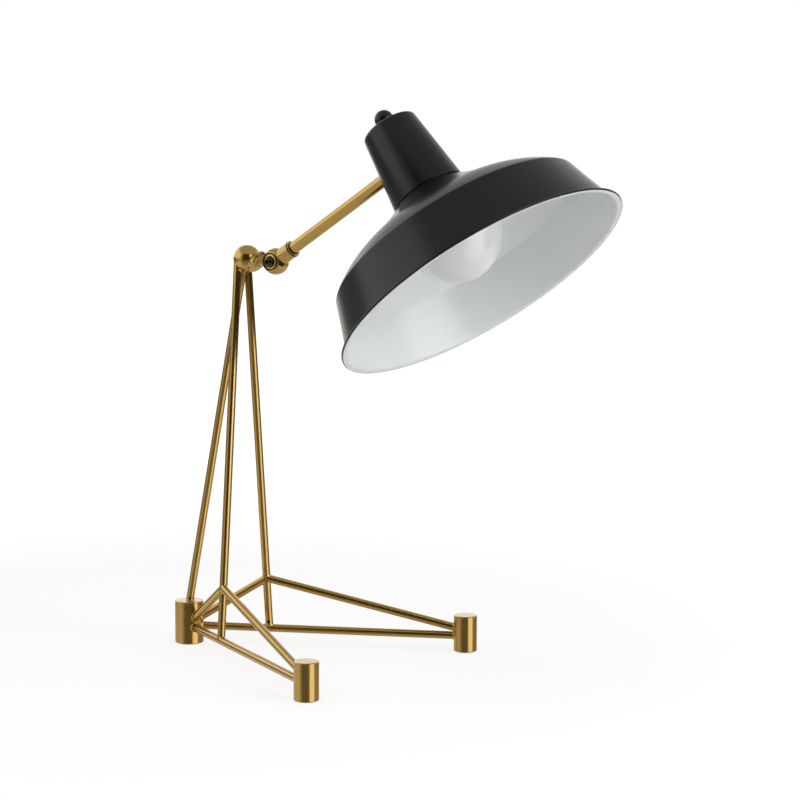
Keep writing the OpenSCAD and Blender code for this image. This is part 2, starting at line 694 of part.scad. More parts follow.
module pivot_screw() color("dimgray") at_ball() rotate([90, 0, 0]) {
    // A dome that is as wide as the head and as high, cut from one sphere
    dome_r = (pow(pivot_head_d / 2, 2) + pow(pivot_head_h, 2)) / (2 * pivot_head_h);
    difference() {
        union() {
            translate([0, 0, -knuckle_flat]) cylinder(d = pivot_d, h = 2 * knuckle_flat + past);
            intersection() {
                translate([0, 0, knuckle_flat + pivot_head_h - dome_r]) sphere(r = dome_r);
                translate([0, 0, knuckle_flat]) cylinder(d = pivot_head_d, h = pivot_head_h);
            }
        }
        translate([0, 0, knuckle_flat + pivot_head_h - pivot_key_depth])
            cylinder(d = pivot_key / cos(180 / hex), h = pivot_head_h, $fn = hex);
    }
}

module pivot_nut() color("dimgray") at_ball() rotate([-90, 0, 0])
translate([0, 0, knuckle_flat - pivot_nut_h - pivot_nut_recess]) difference() {
    cylinder(d = pivot_nut_af / cos(180 / hex), h = pivot_nut_h, $fn = hex);
    translate([0, 0, -past]) cylinder(d = pivot_d + 2 * seat_fit, h = pivot_nut_h + 2 * past);
}

module collar_ring() color("black") at_arm() translate([0, 0, collar_ring_s]) difference() {
    cylinder(d = collar_d - 2 * collar_ring_inset, h = collar_ring_t);
    translate([0, 0, -past]) cylinder(d = collar_d - 2 * collar_ring_depth, h = collar_ring_t + 2 * past);
}

module collar_set_screw() color("dimgray") at_arm() translate([0, 0, grub_at]) rotate([-90, 0, 0])
difference() {
    translate([0, 0, groove_r + end_gap]) cylinder(d = grub_d, h = collar_d / 2 - groove_r - end_gap - grub_recess);
    translate([0, 0, collar_d / 2 - grub_recess - grub_key_depth]) cylinder(d = grub_d / 2, h = collar_d, $fn = hex);
}

module arm_spigot() color("goldenrod") at_arm() difference() {
    union() {
        translate([0, 0, spigot_low]) cylinder(d = arm_d, h = tube_low - spigot_low);
        translate([0, 0, tube_low - past]) cylinder(d = arm_bore - 2 * seat_fit, h = tenon_l + past);
    }
    translate([0, 0, spigot_low - past]) cylinder(d = wire_d, h = tube_low + tenon_l);
    // Groove of the grub screw, with a stop left on the side away from the screw
    difference() {
        translate([0, 0, grub_at - groove_w / 2]) cylinder(d = arm_d + past, h = groove_w);
        translate([0, 0, grub_at - groove_w]) cylinder(r = groove_r, h = 2 * groove_w);
        translate([-groove_stop / 2, -arm_d, grub_at - groove_w]) cube([groove_stop, arm_d, 2 * groove_w]);
    }
}

module arm_tube() color("goldenrod") difference() {
    at_arm() translate([0, 0, tube_low]) cylinder(d = arm_d, h = arm_reach - tube_low);
    at_arm() translate([0, 0, tube_low - past]) cylinder(d = arm_bore, h = arm_reach);
    at_head() translate([0, 0, neck_low_s])
        cylinder(r1 = neck_low_r, r2 = neck_top_r, h = neck_top_s - neck_low_s);
}

module arm_nipple() color("silver") at_arm()
translate([0, 0, arm_reach - wall_out - nipple_in_arm]) difference() {
    cylinder(d = nipple_d, h = wall_out + nipple_in_arm - nipple_end);
    translate([0, 0, -past]) cylinder(d = nipple_bore, h = wall_out + nipple_in_arm);
}

module nipple_washer() color("silver") at_arm() translate([0, 0, arm_reach - bracket_in]) difference() {
    cylinder(d = nipple_washer_d, h = nipple_washer_t);
    translate([0, 0, -past]) cylinder(d = nipple_d + 2 * hole_fit, h = nipple_washer_t + 2 * past);
}

module nipple_nut() color("silver") at_arm() translate([0, 0, arm_reach - washer_in]) difference() {
    cylinder(d = nipple_nut_af / cos(180 / hex), h = nipple_nut_h, $fn = hex);
    translate([0, 0, -past]) cylinder(d = nipple_d + 2 * seat_fit, h = nipple_nut_h + 2 * past);
}

// Bent bracket: one leg on the nipple, the other over the lampholder
module holder_bracket() color("silver") difference() {
    at_head() intersection() {
        slab(bracket_w) polygon([
            from_arm(bracket_out, -bracket_drop),
            from_arm(bracket_out, across_to(bracket_out, holder_top_s + bracket_t)),
            [holder_screw_x + holder_screw_head_d, holder_top_s + bracket_t],
            [holder_screw_x + holder_screw_head_d, holder_top_s],
            from_arm(bracket_in, across_to(bracket_in, holder_top_s)),
            from_arm(bracket_in, -bracket_drop)]);
        translate([0, 0, neck_low_s]) cylinder(
            r1 = neck_low_r - neck_wall_r - wall_room, r2 = neck_top_r - neck_wall_r - wall_room,
            h = neck_top_s - neck_low_s);
    }
    at_arm() translate([0, 0, arm_reach - wall_out]) cylinder(d = nipple_d + 2 * hole_fit, h = wall_out);
    at_head() for (x = [-1, 1]) translate([x * holder_screw_x, 0, holder_top_s - past])
        cylinder(d = holder_screw_d + 2 * hole_fit, h = bracket_t + 2 * past);
}

module holder_screws() color("silver") at_head() for (x = [-1, 1])
translate([x * holder_screw_x, 0, holder_top_s]) difference() {
    union() {
        translate([0, 0, -holder_screw_l]) cylinder(d = holder_screw_d, h = holder_screw_l + bracket_t + past);
        translate([0, 0, bracket_t]) cylinder(d = holder_screw_head_d, h = holder_screw_head_h);
    }
    translate([-holder_screw_head_d, -slot_cut / 2, bracket_t + holder_screw_head_h / 2])
        cube([2 * holder_screw_head_d, slot_cut, holder_screw_head_h]);
}

// Tapered cup with a rounded top edge and an inner flange at its foot
module neck() color([0.14, 0.14, 0.15]) difference() {
    at_head() {
        corner_s = neck_top_s - neck_corner;
        corner_r = neck_r(corner_s) - neck_corner / cos(neck_half);
        flange_s = neck_low_s + neck_flange_t;
        rotate_extrude() polygon(concat(
            [[throat_r, neck_low_s], [neck_low_r, neck_low_s]],
            corner(corner_r, corner_s, neck_corner, neck_half, 90),
            [[bush_d / 2 + hole_fit, neck_top_s], [bush_d / 2 + hole_fit, neck_top_s - neck_wall]],
            corner(corner_r, corner_s, neck_corner - neck_wall, 90, neck_half),
            [[neck_r(flange_s) - neck_wall_r, flange_s], [throat_r, flange_s]]));
    }
    at_arm() translate([0, 0, arm_reach - wall_out - past])
        cylinder(d = nipple_d + 2 * hole_fit, h = wall_out / 2);
    screw_holes(shade_screw_d);
}

// Holes of the three shade screws
module screw_holes(d) at_head() for (i = [0:2]) rotate([0, 0, 60 + 120 * i])
    translate([screw_ring_r, 0, crown_s - shade_t - past])
        cylinder(d = d, h = neck_low_s + neck_flange_t - crown_s + shade_t + 2 * past);

module shade_ring() color([0.14, 0.14, 0.15]) difference() {
    at_head() rotate_extrude() polygon(concat(
        [[throat_r, crown_s]],
        bowed([crown_r, crown_s], [ring_top_r, neck_low_s], -ring_bow),
        [[ring_top_r, neck_low_s], [throat_r, neck_low_s]]));
    screw_holes(shade_screw_d + 2 * hole_fit);
}

// Spun shade: rolled bead, flat lip, skirt, shoulder, dome and flat top
module shade() color([0.12, 0.12, 0.13]) difference() {
    bend = corner(lip_r + lip_bend_r, lip_s + shade_t + lip_bend_r, lip_bend_r, -90, skirt_lean - 180);
    outside = concat(
        [[rim_r - bead_d / 2, lip_s + shade_t]],
        [for (i = [0:corner_steps - 1]) bend[i]],
        bowed(bend[corner_steps], [shoulder_r, shoulder_s], -skirt_bow),
        bowed([shoulder_r, shoulder_s], [bend_r, bend_s], dome_bow),
        bowed([bend_r, bend_s], [crown_r, crown_s], -flare_bow),
        [[crown_r, crown_s], [throat_r, crown_s]]);
    at_head() union() {
        rotate_extrude() polygon(concat(outside, backwards(inset(outside, shade_t))));
        rotate_extrude() translate([rim_r - bead_d / 2, bead_d / 2]) circle(d = bead_d);
    }
    screw_holes(shade_screw_d + 2 * hole_fit);
}

module shade_screws() color("silver") at_head() for (i = [0:2]) rotate([0, 0, 60 + 120 * i])
translate([screw_ring_r, 0, crown_s - shade_t]) difference() {
    union() {
        translate([0, 0, -shade_screw_head_h]) cylinder(d = shade_screw_head_d, h = shade_screw_head_h);
        translate([0, 0, -shade_screw_head_h / 2]) cylinder(
            d = shade_screw_d,
            h = shade_screw_head_h / 2 + shade_t + neck_low_s - crown_s + neck_flange_t);
    }
    translate([-shade_screw_head_d, -slot_cut / 2, -3 * shade_screw_head_h / 2])
        cube([2 * shade_screw_head_d, slot_cut, shade_screw_head_h]);
}

module lampholder() color("ivory") at_head() difference() {
    mouth_r = glass_neck_r + mouth_room;
    cavity_r = shell_r + shell_t + seat_fit;
    rotate_extrude() polygon([
        [mouth_r, holder_low_s], [holder_r, holder_low_s],
        [holder_r, holder_top_s - holder_edge], [holder_r - holder_edge, holder_top_s],
        [0, holder_top_s], [0, holder_floor_s], [cavity_r, holder_floor_s],
        [cavity_r, holder_low_s + mouth_depth], [mouth_r, holder_low_s + mouth_depth]]);
    for (x = [-1, 1]) translate([x * holder_screw_x, 0, holder_top_s - holder_screw_l - end_gap])
        cylinder(d = holder_screw_d, h = holder_screw_l + 2 * past);
    // Ways for the two wires
    for (y = [-1, 1]) translate([0, y * holder_r / 2, holder_floor_s - past])
        cylinder(d = wire_d * 3 / 4, h = holder_top_s);
}

module socket_shell() color("goldenrod") at_head() translate([0, 0, shell_low_s]) difference() {
    cylinder(r = shell_r + shell_t, h = holder_floor_s - shell_low_s);
    translate([0, 0, -past]) cylinder(r = shell_r, h = holder_floor_s);
}

module centre_contact() color("goldenrod") at_head() translate([0, 0, contact_top_s])
    cylinder(r = contact_r, h = holder_floor_s - contact_top_s);

// Opal globe, blended into its glass neck, whose end sits inside the cap
module bulb_globe() color("white") at_head() {
    ball = corner(0, globe_s, globe_r, -90, fillet_angle);
    hollow = corner(glass_neck_r + glass_fillet, fillet_s, glass_fillet, 180 + fillet_angle, 180);
    stem_r = cap_r - cap_wall - seat_fit;
    inner_ball = corner(0, globe_s, globe_r - glass_t, fillet_angle, -90);
    inner_hollow = corner(glass_neck_r + glass_fillet, fillet_s, glass_fillet + glass_t, 180, 180 + fillet_angle);
    rotate_extrude() polygon(concat(
        ball, hollow,
        [[glass_neck_r, cap_low_s - past / 2], [stem_r, cap_low_s], [stem_r, cap_low_s + stem_l],
            [stem_r - glass_t, cap_low_s + stem_l], [stem_r - glass_t, cap_low_s - past]],
        inner_hollow, inner_ball));
}

module bulb_cap() color("silver") at_head() {
    cone_s = cap_top_s - cap_cone_h;
    rotate_extrude() polygon([
        [cap_r, cap_low_s], [cap_r, cone_s], [contact_r + contact_ledge, cap_top_s], [0, cap_top_s],
        [0, cap_top_s - 2 * cap_wall], [contact_r, cap_top_s - 2 * cap_wall],
        [cap_r - cap_wall, cone_s - cap_wall], [cap_r - cap_wall, cap_low_s]]);
}

module bulb_contact() color("silver") at_head() translate([0, 0, cap_top_s])
    cylinder(r1 = contact_r, r2 = contact_r - contact_ledge, h = contact_h);

module switch_body() color("dimgray") at_head() difference() {
    union() {
        translate([0, 0, switch_low_s]) cylinder(d = switch_d, h = switch_h);
        cylinder_from(bush_d, switch_low_s + switch_h / 2, neck_top_s + switch_nut_h);
    }
    cylinder_from(shaft_d + 2 * run_fit, shaft_low_s - end_gap, neck_top_s + switch_nut_h + past);
}
// Cylinder about the shade's axis between two heights
module cylinder_from(d, low, high) translate([0, 0, low]) cylinder(d = d, h = high - low);

module switch_nut() color("silver") at_head() difference() {
    translate([0, 0, neck_top_s]) cylinder(d = switch_nut_af / cos(180 / hex), h = switch_nut_h, $fn = hex);
    cylinder_from(bush_d + 2 * seat_fit, neck_top_s - past, neck_top_s + switch_nut_h + past);
}

module switch_knob() color([0.14, 0.14, 0.15]) at_head() difference() {
    translate([0, 0, knob_s]) sphere(d = knob_d);
    cylinder_from(2 * knob_d, neck_top_s - knob_d, knob_base_s);
    cylinder_from(shaft_d + 2 * seat_fit, neck_top_s, shaft_top_s + seat_fit);
    translate([0, 0, knob_screw_s]) rotate([0, -90, 0]) cylinder(d = knob_screw_d, h = knob_d);
}

module switch_shaft() color("silver") at_head() difference() {
    cylinder_from(shaft_d, shaft_low_s, shaft_top_s);
    // Flat for the grub screw
    translate([-shaft_d - shaft_d / 2 + shaft_flat, -shaft_d, knob_screw_s - knob_screw_d / 2 - end_gap])
        cube([shaft_d, 2 * shaft_d, knob_d]);
}

module knob_set_screw() color("dimgray") at_head() translate([0, 0, knob_screw_s]) rotate([0, -90, 0])
difference() {
    translate([0, 0, shaft_d / 2 - shaft_flat])
        cylinder(d = knob_screw_d, h = knob_d / 2 - knob_screw_recess - shaft_d / 2 + shaft_flat);
    translate([0, 0, knob_d / 2 - knob_screw_recess - grub_key_depth])
        cylinder(d = knob_screw_d / 2, h = knob_d, $fn = hex);
}

rear_foot();
front_foot();
right_foot();
foot_pads();
cord_grommet();
rear_leg();
front_leg();
right_leg();
front_rail();
right_rail();
front_outer_brace();
right_outer_brace();
front_inner_brace();
right_inner_brace();
hub_ball();
knuckle_link();
tongue_washers();
knuckle_ball();
pivot_ring();
pivot_screw();
pivot_nut();
collar_ring();
collar_set_screw();
arm_spigot();
arm_tube();
arm_nipple();
nipple_washer();
nipple_nut();
holder_bracket();
holder_screws();
neck();
shade_ring();
shade();
shade_screws();
lampholder();
socket_shell();
centre_contact();
bulb_globe();
bulb_cap();
bulb_contact();
switch_body();
switch_nut();
switch_knob();
switch_shaft();
knob_set_screw();
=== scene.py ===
"""Bedside lamp in a plain studio: braced brass rods, ball knuckle, straight arm, wide spun shade.

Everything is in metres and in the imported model's own frame, so no piece is moved afterwards.
"""

import json
import logging
import math
from collections.abc import Iterable, Sequence
from dataclasses import dataclass
from enum import Enum

import bmesh
import bpy
from mathutils import Matrix, Vector


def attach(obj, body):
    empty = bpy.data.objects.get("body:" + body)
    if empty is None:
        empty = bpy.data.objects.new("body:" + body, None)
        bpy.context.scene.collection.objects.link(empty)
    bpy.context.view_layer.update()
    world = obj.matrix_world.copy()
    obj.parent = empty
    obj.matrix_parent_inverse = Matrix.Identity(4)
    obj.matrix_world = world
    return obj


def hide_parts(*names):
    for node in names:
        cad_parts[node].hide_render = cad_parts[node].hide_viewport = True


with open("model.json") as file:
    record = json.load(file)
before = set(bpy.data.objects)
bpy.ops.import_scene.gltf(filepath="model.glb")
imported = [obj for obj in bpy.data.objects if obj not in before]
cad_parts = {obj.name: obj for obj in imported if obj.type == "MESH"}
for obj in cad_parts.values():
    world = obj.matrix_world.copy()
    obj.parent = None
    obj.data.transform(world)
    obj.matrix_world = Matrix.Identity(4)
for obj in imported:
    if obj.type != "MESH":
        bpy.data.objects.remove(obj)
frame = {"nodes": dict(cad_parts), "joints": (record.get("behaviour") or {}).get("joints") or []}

LOG = logging.getLogger("lamp")
MM = 0.001
MERGE = 1e-7
COPY_MERGE = 2e-6
SLIVER = 1e-6
LATHE_STEPS = 144
LACQUER_IOR = 1.5
LEFT, RIGHT = -1, 1

Flat = tuple[float, float]
NOISE_RANGE: Flat = (0.3, 0.7)
Colour = tuple[float, float, float]
Socket = bpy.types.NodeSocket
Material = bpy.types.Material
Piece = bpy.types.Object
WHITE: Colour = (1.0, 1.0, 1.0)


class Grain(Enum):
    """Which way the fine lines of a metal finish run."""

    DRAWN = "drawn"
    TURNED = "turned"


class Body(Enum):
    """The moving parts of the lamp."""

    BASE = "base"
    KNUCKLE = "knuckle"
    HEAD = "head"


class Tree:
    """A node tree with short calls for adding and joining its nodes."""

    def __init__(self, tree: bpy.types.NodeTree) -> None:
        """Takes a shader or geometry tree over and empties it."""
        self.tree = tree
        tree.nodes.clear()

    def feed(self, socket: Socket, value: object) -> None:
        """Gives an input another node's output, or a plain value.

        Args:
            socket: The input.
            value: The output or the plain value.
        """
        if isinstance(value, Socket):
            self.tree.links.new(value, socket)
        else:
            socket.default_value = value

    def add(
        self, kind: str, inputs: dict[str | int, object] | None = None, **settings: object
    ) -> bpy.types.Node:
        """Adds a node.

        Args:
            kind: The node type's own name.
            inputs: What its inputs get, by name or number.
            settings: Properties to set on it first.

        Returns:
            The new node.
        """
        node = self.tree.nodes.new(kind)
        for key, value in settings.items():
            setattr(node, key, value)
        for key, value in (inputs or {}).items():
            self.feed(node.inputs[key], value)
        return node

    def sum(self, operation: str, first: object, second: object) -> Socket:
        """Works out two sockets or numbers with an operation such as MULTIPLY."""
        return self.add("ShaderNodeMath", {0: first, 1: second}, operation=operation).outputs[0]

    def blend(self, first: Socket, second: Socket, share: float) -> Socket:
        """A share of the first value and the rest of the second."""
        part, rest = self.sum("MULTIPLY", first, share), self.sum("MULTIPLY", second, 1 - share)
        return self.sum("ADD", part, rest)

    def rescale(self, value: Socket, source: Flat, target: Flat) -> Socket:
        """Carries a value over from one range to another."""
        ends = zip(("From Min", "From Max", "To Min", "To Max"), (*source, *target))
        return self.add("ShaderNodeMapRange", {"Value": value, **dict(ends)}).outputs["Result"]

    def noise(self, where: Socket, **levels: object) -> Socket:
        """The value of a noise texture at some coordinates."""
        return self.add("ShaderNodeTexNoise", {"Vector": where, **levels}).outputs["Fac"]

    def shared(self, group: bpy.types.NodeTree, where: Socket, **levels: float) -> bpy.types.Node:
        """Places a shared group at some coordinates."""
        return self.add("ShaderNodeGroup", {"Vector": where, **levels}, node_tree=group)


def new_material(name: str) -> tuple[Material, Tree]:
    """Starts a material with an empty tree.

    Args:
        name: The material's name.

    Returns:
        The material and its tree.
    """
    material = bpy.data.materials.new(name)
    material.use_nodes = True
    return material, Tree(material.node_tree)


class SurfaceGroups:
    """The shader groups that several finishes share, each built once."""

    def __init__(self) -> None:
        """Builds every group."""
        self.lines = {grain: self._lines(grain) for grain in Grain}
        self.mottle = self._mottle()
        self.peel = self._peel()

    @staticmethod
    def _group(
        name: str, inputs: dict[str, float], outputs: Sequence[str]
    ) -> tuple[Tree, dict[str, Socket], dict[str, Socket]]:
        """Starts a group with a Vector input, number inputs and number outputs.

        Args:
            name: The group's name.
            inputs: Number inputs and their defaults.
            outputs: Names of the number outputs.

        Returns:
            The tree, its input sockets by name and its output sockets by name.
        """
        group = bpy.data.node_groups.new(name, "ShaderNodeTree")
        tree = Tree(group)
        group.interface.new_socket("Vector", in_out="INPUT", socket_type="NodeSocketVector")
        for key, value in inputs.items():
            socket = group.interface.new_socket(key, in_out="INPUT", socket_type="NodeSocketFloat")
            socket.default_value = value
        for key in outputs:
            group.interface.new_socket(key, in_out="OUTPUT", socket_type="NodeSocketFloat")
        sides = (tree.add("NodeGroupInput").outputs, tree.add("NodeGroupOutput").inputs)
        given, put = ({s.name: s for s in side if s.name} for side in sides)
        return tree, given, put

    def _lines(self, grain: Grain) -> bpy.types.NodeTree:
        """Fine satin lines, along the local Z axis or in rings round it.

        Args:
            grain: Which way the lines run.

        Returns:
            The group.
        """
        levels = {"Fineness": 5000.0, "Length": 120.0}
        tree, given, put = self._group(grain.value + "_lines", levels, ("Height", "Tone"))
        x, y, z = tree.add("ShaderNodeSeparateXYZ", {0: given["Vector"]}).outputs
        spot = (x, y, z)
        if grain is Grain.TURNED:
            square = tree.sum("ADD", tree.sum("MULTIPLY", x, x), tree.sum("MULTIPLY", y, y))
            spot = (tree.sum("POWER", square, 0.5), z, tree.sum("ADD", x, y))
        rates = ("Fineness", "Fineness", "Length")
        scaled = [tree.sum("MULTIPLY", value, given[rate]) for value, rate in zip(spot, rates)]
        across = tree.add("ShaderNodeCombineXYZ", dict(enumerate(scaled))).outputs[0]
        tree.feed(put["Height"], tree.noise(across, Scale=1.0, Detail=3.0, Roughness=0.62))
        tree.feed(put["Tone"], tree.noise(across, Scale=0.21, Detail=2.0))
        return tree.tree

    def _mottle(self) -> bpy.types.NodeTree:
        """Slow, cloudy change over a surface, as lacquer and paint have.

        Returns:
            The group.
        """
        tree, given, put = self._group("cloudy_film", {"Scale": 40.0}, ("Cloud", "Smudge"))
        smudge = {"Detail": 5.0, "Roughness": 0.7, "Distortion": 0.6}
        for name, rate, levels in (("Cloud", 1.0, {"Detail": 3.0}), ("Smudge", 2.7, smudge)):
            scale = tree.sum("MULTIPLY", given["Scale"], rate)
            tree.feed(put[name], tree.noise(given["Vector"], Scale=scale, **levels))
        return tree.tree

    def _peel(self) -> bpy.types.NodeTree:
        """The soft pimples of sprayed and baked paint.

        Returns:
            The group.
        """
        tree, given, put = self._group("baked_skin", {"Scale": 900.0}, ("Height",))
        tree.feed(put["Height"], tree.noise(given["Vector"], Scale=given["Scale"], Detail=1.5))
        return tree.tree


@dataclass(frozen=True)
class Shine:
    """What a surface does with light: constants of the Principled shader."""

    metallic: float = 0.0
    specular: float = 0.5
    coat: float = 0.0
    coat_roughness: float = 0.1


@dataclass(frozen=True)
class Finish:
    """One surface finish, with two colours and two roughnesses that it wanders between."""

    name: str
    dark: Colour
    light: Colour
    smooth: float
    rough: float
    bump: float
    pattern: float
    clouds: float = 30.0
    shine: Shine = Shine()

    line_share = 0.45
    cloud_share = 0.6
    line_stretch = 45

    def _start(self, suffix: str, place: Matrix | None) -> tuple[Material, Tree, Socket]:
        """Starts the material and its coordinates.

        Args:
            suffix: Added to the finish's name.
            place: Frame whose Z axis the pattern follows, or None for the lamp's own.

        Returns:
            The material, its tree and the coordinates.
        """
        material, tree = new_material(self.name + suffix)
        where = tree.add("ShaderNodeTexCoord").outputs["Object"]
        if place is not None:
            turned = {"Vector": where, "Location": place.translation, "Rotation": place.to_euler()}
            where = tree.add("ShaderNodeMapping", turned, vector_type="TEXTURE").outputs["Vector"]
        return material, tree, where

    def _finish(self, tree: Tree, tone: Socket, height: Socket) -> None:
        """Adds the shader, fed with colour, roughness and bump.

        Args:
            tree: The material's tree.
            tone: 0 to 1, dark and smooth to light and rough.
            height: Height of the fine pattern, 0 to 1.
        """
        colours = tree.add("ShaderNodeValToRGB", {"Fac": tone})
        low, high = colours.color_ramp.elements
        low.position, high.position = NOISE_RANGE
        low.color, high.color = (*self.dark, 1.0), (*self.light, 1.0)
        relief = {"Strength": 1.0, "Distance": self.bump, "Height": height}
        shader = {
            "Base Color": colours.outputs["Color"],
            "Roughness": tree.rescale(tone, NOISE_RANGE, (self.smooth, self.rough)),
            "Normal": tree.add("ShaderNodeBump", relief).outputs["Normal"],
            "Metallic": self.shine.metallic,
            "Specular IOR Level": self.shine.specular,
            "Coat Weight": self.shine.coat,
            "Coat Roughness": self.shine.coat_roughness,
            "IOR": LACQUER_IOR,
        }
        surface = tree.add("ShaderNodeBsdfPrincipled", shader).outputs[0]
        tree.add("ShaderNodeOutputMaterial", {"Surface": surface})

    def metal(
        self, groups: SurfaceGroups, grain: Grain, suffix: str, place: Matrix | None = None
    ) -> Material:
        """A metal with fine satin lines under a cloudy film.

        Args:
            groups: The shared groups.
            grain: Which way the lines run.
            suffix: Added to the finish's name.
            place: Frame whose Z axis the lines follow or go round.

        Returns:
            The material.
        """
        material, tree, where = self._start(suffix, place)
        length = self.pattern / self.line_stretch
        lines = tree.shared(groups.lines[grain], where, Fineness=self.pattern, Length=length)
        film = tree.shared(groups.mottle, where, Scale=self.clouds)
        tone = tree.blend(lines.outputs["Tone"], film.outputs["Smudge"], self.line_share)
        self._finish(tree, tone, lines.outputs["Height"])
        return material

    def skin(self, groups: SurfaceGroups, suffix: str = "") -> Material:
        """Paint, enamel, rubber, plastic or glazed ware with a fine skin.

        Args:
            groups: The shared groups.
            suffix: Added to the finish's name.

        Returns:
            The material.
        """
        material, tree, where = self._start(suffix, None)
        film = tree.shared(groups.mottle, where, Scale=self.clouds)
        peel = tree.shared(groups.peel, where, Scale=self.pattern)
        tone = tree.blend(film.outputs["Cloud"], film.outputs["Smudge"], self.cloud_share)
        self._finish(tree, tone, peel.outputs["Height"])
        return material


BRASS = Finish(
    "brass", dark=(0.440, 0.279, 0.081), light=(0.476, 0.308, 0.094), smooth=0.19, rough=0.225,
    bump=0.0000009, pattern=5200.0, shine=Shine(metallic=1.0, coat=0.10, coat_roughness=0.12),
)
SATIN_BLACK = Finish(
    "satin_black", dark=(0.0028, 0.0028, 0.0031), light=(0.0042, 0.0042, 0.0046), smooth=0.23,
    rough=0.28, bump=0.000006, pattern=950.0, clouds=18.0, shine=Shine(specular=0.32),
)
WHITE_ENAMEL = Finish(
    "white_enamel", dark=(0.810, 0.840, 0.836), light=(0.840, 0.868, 0.864), smooth=0.20,
    rough=0.27, bump=0.00002, pattern=420.0, clouds=14.0,
    shine=Shine(specular=0.45, coat=0.25, coat_roughness=0.12),
)
OPAL_GLASS = Finish(
    "opal_glass", dark=(0.85, 0.872, 0.855), light=(0.88, 0.90, 0.884), smooth=0.07, rough=0.12,
    bump=0.000004, pattern=160.0, clouds=10.0, shine=Shine(coat=0.4, coat_roughness=0.03),
)
PAD_RUBBER = Finish(
    "pad_rubber", dark=(0.022, 0.022, 0.022), light=(0.035, 0.035, 0.034), smooth=0.72, rough=0.86,
    bump=0.00008, pattern=2600.0, shine=Shine(specular=0.3),
)
BLACK_RING = Finish(
    "black_ring", dark=(0.009, 0.008, 0.007), light=(0.016, 0.015, 0.013), smooth=0.40, rough=0.52,
    bump=0.00002, pattern=2400.0, shine=Shine(specular=0.4),
)
DARK_STEEL = Finish(
    "dark_steel", dark=(0.040, 0.034, 0.026), light=(0.085, 0.072, 0.052), smooth=0.24, rough=0.36,
    bump=0.00001, pattern=6000.0, clouds=160.0, shine=Shine(metallic=1.0),
)
ZINC_STEEL = Finish(
    "zinc_steel", dark=(0.46, 0.47, 0.48), light=(0.60, 0.61, 0.62), smooth=0.28, rough=0.42,
    bump=0.00001, pattern=5200.0, clouds=120.0, shine=Shine(metallic=1.0),
)
CAP_METAL = Finish(
    "cap_metal", dark=(0.58, 0.58, 0.59), light=(0.70, 0.70, 0.71), smooth=0.22, rough=0.34,
    bump=0.000008, pattern=5200.0, clouds=90.0, shine=Shine(metallic=1.0),
)
CERAMIC = Finish(
    "holder_ceramic", dark=(0.70, 0.69, 0.64), light=(0.76, 0.75, 0.70), smooth=0.16, rough=0.24,
    bump=0.00002, pattern=700.0, clouds=50.0, shine=Shine(coat=0.3, coat_roughness=0.08),
)
SWITCH_PLASTIC = Finish(
    "switch_plastic", dark=(0.020, 0.020, 0.021), light=(0.032, 0.032, 0.033), smooth=0.46,
    rough=0.58, bump=0.00003, pattern=2200.0, shine=Shine(specular=0.4),
)


def frame_at(origin: Vector, axis: Vector) -> Matrix:
    """A frame with its origin at a point and its Z axis along a direction."""
    return Matrix.Translation(origin) @ axis.to_track_quat("Z", "Y").to_matrix().to_4x4()


def stand(name: str, data: bpy.types.ID) -> Piece:
    """Puts a mesh, a lamp or a camera into the scene.

    Args:
        name: The object's name.
        data: What it shows.

    Returns:
        The linked object.
    """
    thing = bpy.data.objects.new(name, data)
    bpy.context.scene.collection.objects.link(thing)
    return thing


def tidy(mesh: bpy.types.Mesh, sharp_deg: float) -> None:
    """Merges doubles, turns the faces outwards and shades the mesh smooth.

    Args:
        mesh: The mesh to finish.
        sharp_deg: Edges sharper than this stay crisp.
    """
    work = bmesh.new()
    work.from_mesh(mesh)
    bmesh.ops.remove_doubles(work, verts=work.verts, dist=MERGE)
    bmesh.ops.recalc_face_normals(work, faces=work.faces)
    work.to_mesh(mesh)
    work.free()
    mesh.shade_smooth()
    mesh.set_sharp_from_angle(angle=math.radians(sharp_deg))


def new_piece(
    name: str, points: Sequence[Vector], faces: Sequence[Sequence[int]], sharp_deg: float = 35.0
) -> Piece:
    """Makes a smooth-shaded mesh object with outward faces.

    Args:
        name: The piece's name.
        points: Its vertices in the lamp's frame.
        faces: Its faces.
        sharp_deg: Edges sharper than this stay crisp.

    Returns:
        The linked object.
    """
    mesh = bpy.data.meshes.new(name)
    mesh.from_pydata([tuple(p) for p in points], [], [tuple(f) for f in faces])
    tidy(mesh, sharp_deg)
    return stand(name, mesh)


def settle(
    piece: Piece,
    body: Body,
    replaced: Iterable[str] = (),
    material: Material | None = None,
) -> None:
    """Says which body a new piece moves with, whose finish it wears and which nodes it stands for.

    Args:
        piece: The new piece.
        body: The body that carries it.
        replaced: CAD nodes that it stands for.
        material: What it wears, or None where it has that already.
    """
    if material is not None:
        piece.data.materials.append(material)
    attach(piece, body.value)
    nodes = tuple(replaced)
    if nodes:
        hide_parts(*nodes)
    LOG.info("piece %s on %s, %d faces", piece.name, body.value, len(piece.data.polygons))


def dress(material: Material, *nodes: str) -> None:
    """Puts a material on CAD nodes.

    Args:
        material: The material.
        nodes: The nodes' names.
    """
    for node in nodes:
        frame["nodes"][node].material_slots[0].material = material
        LOG.info("node %s wears %s", node, material.name)


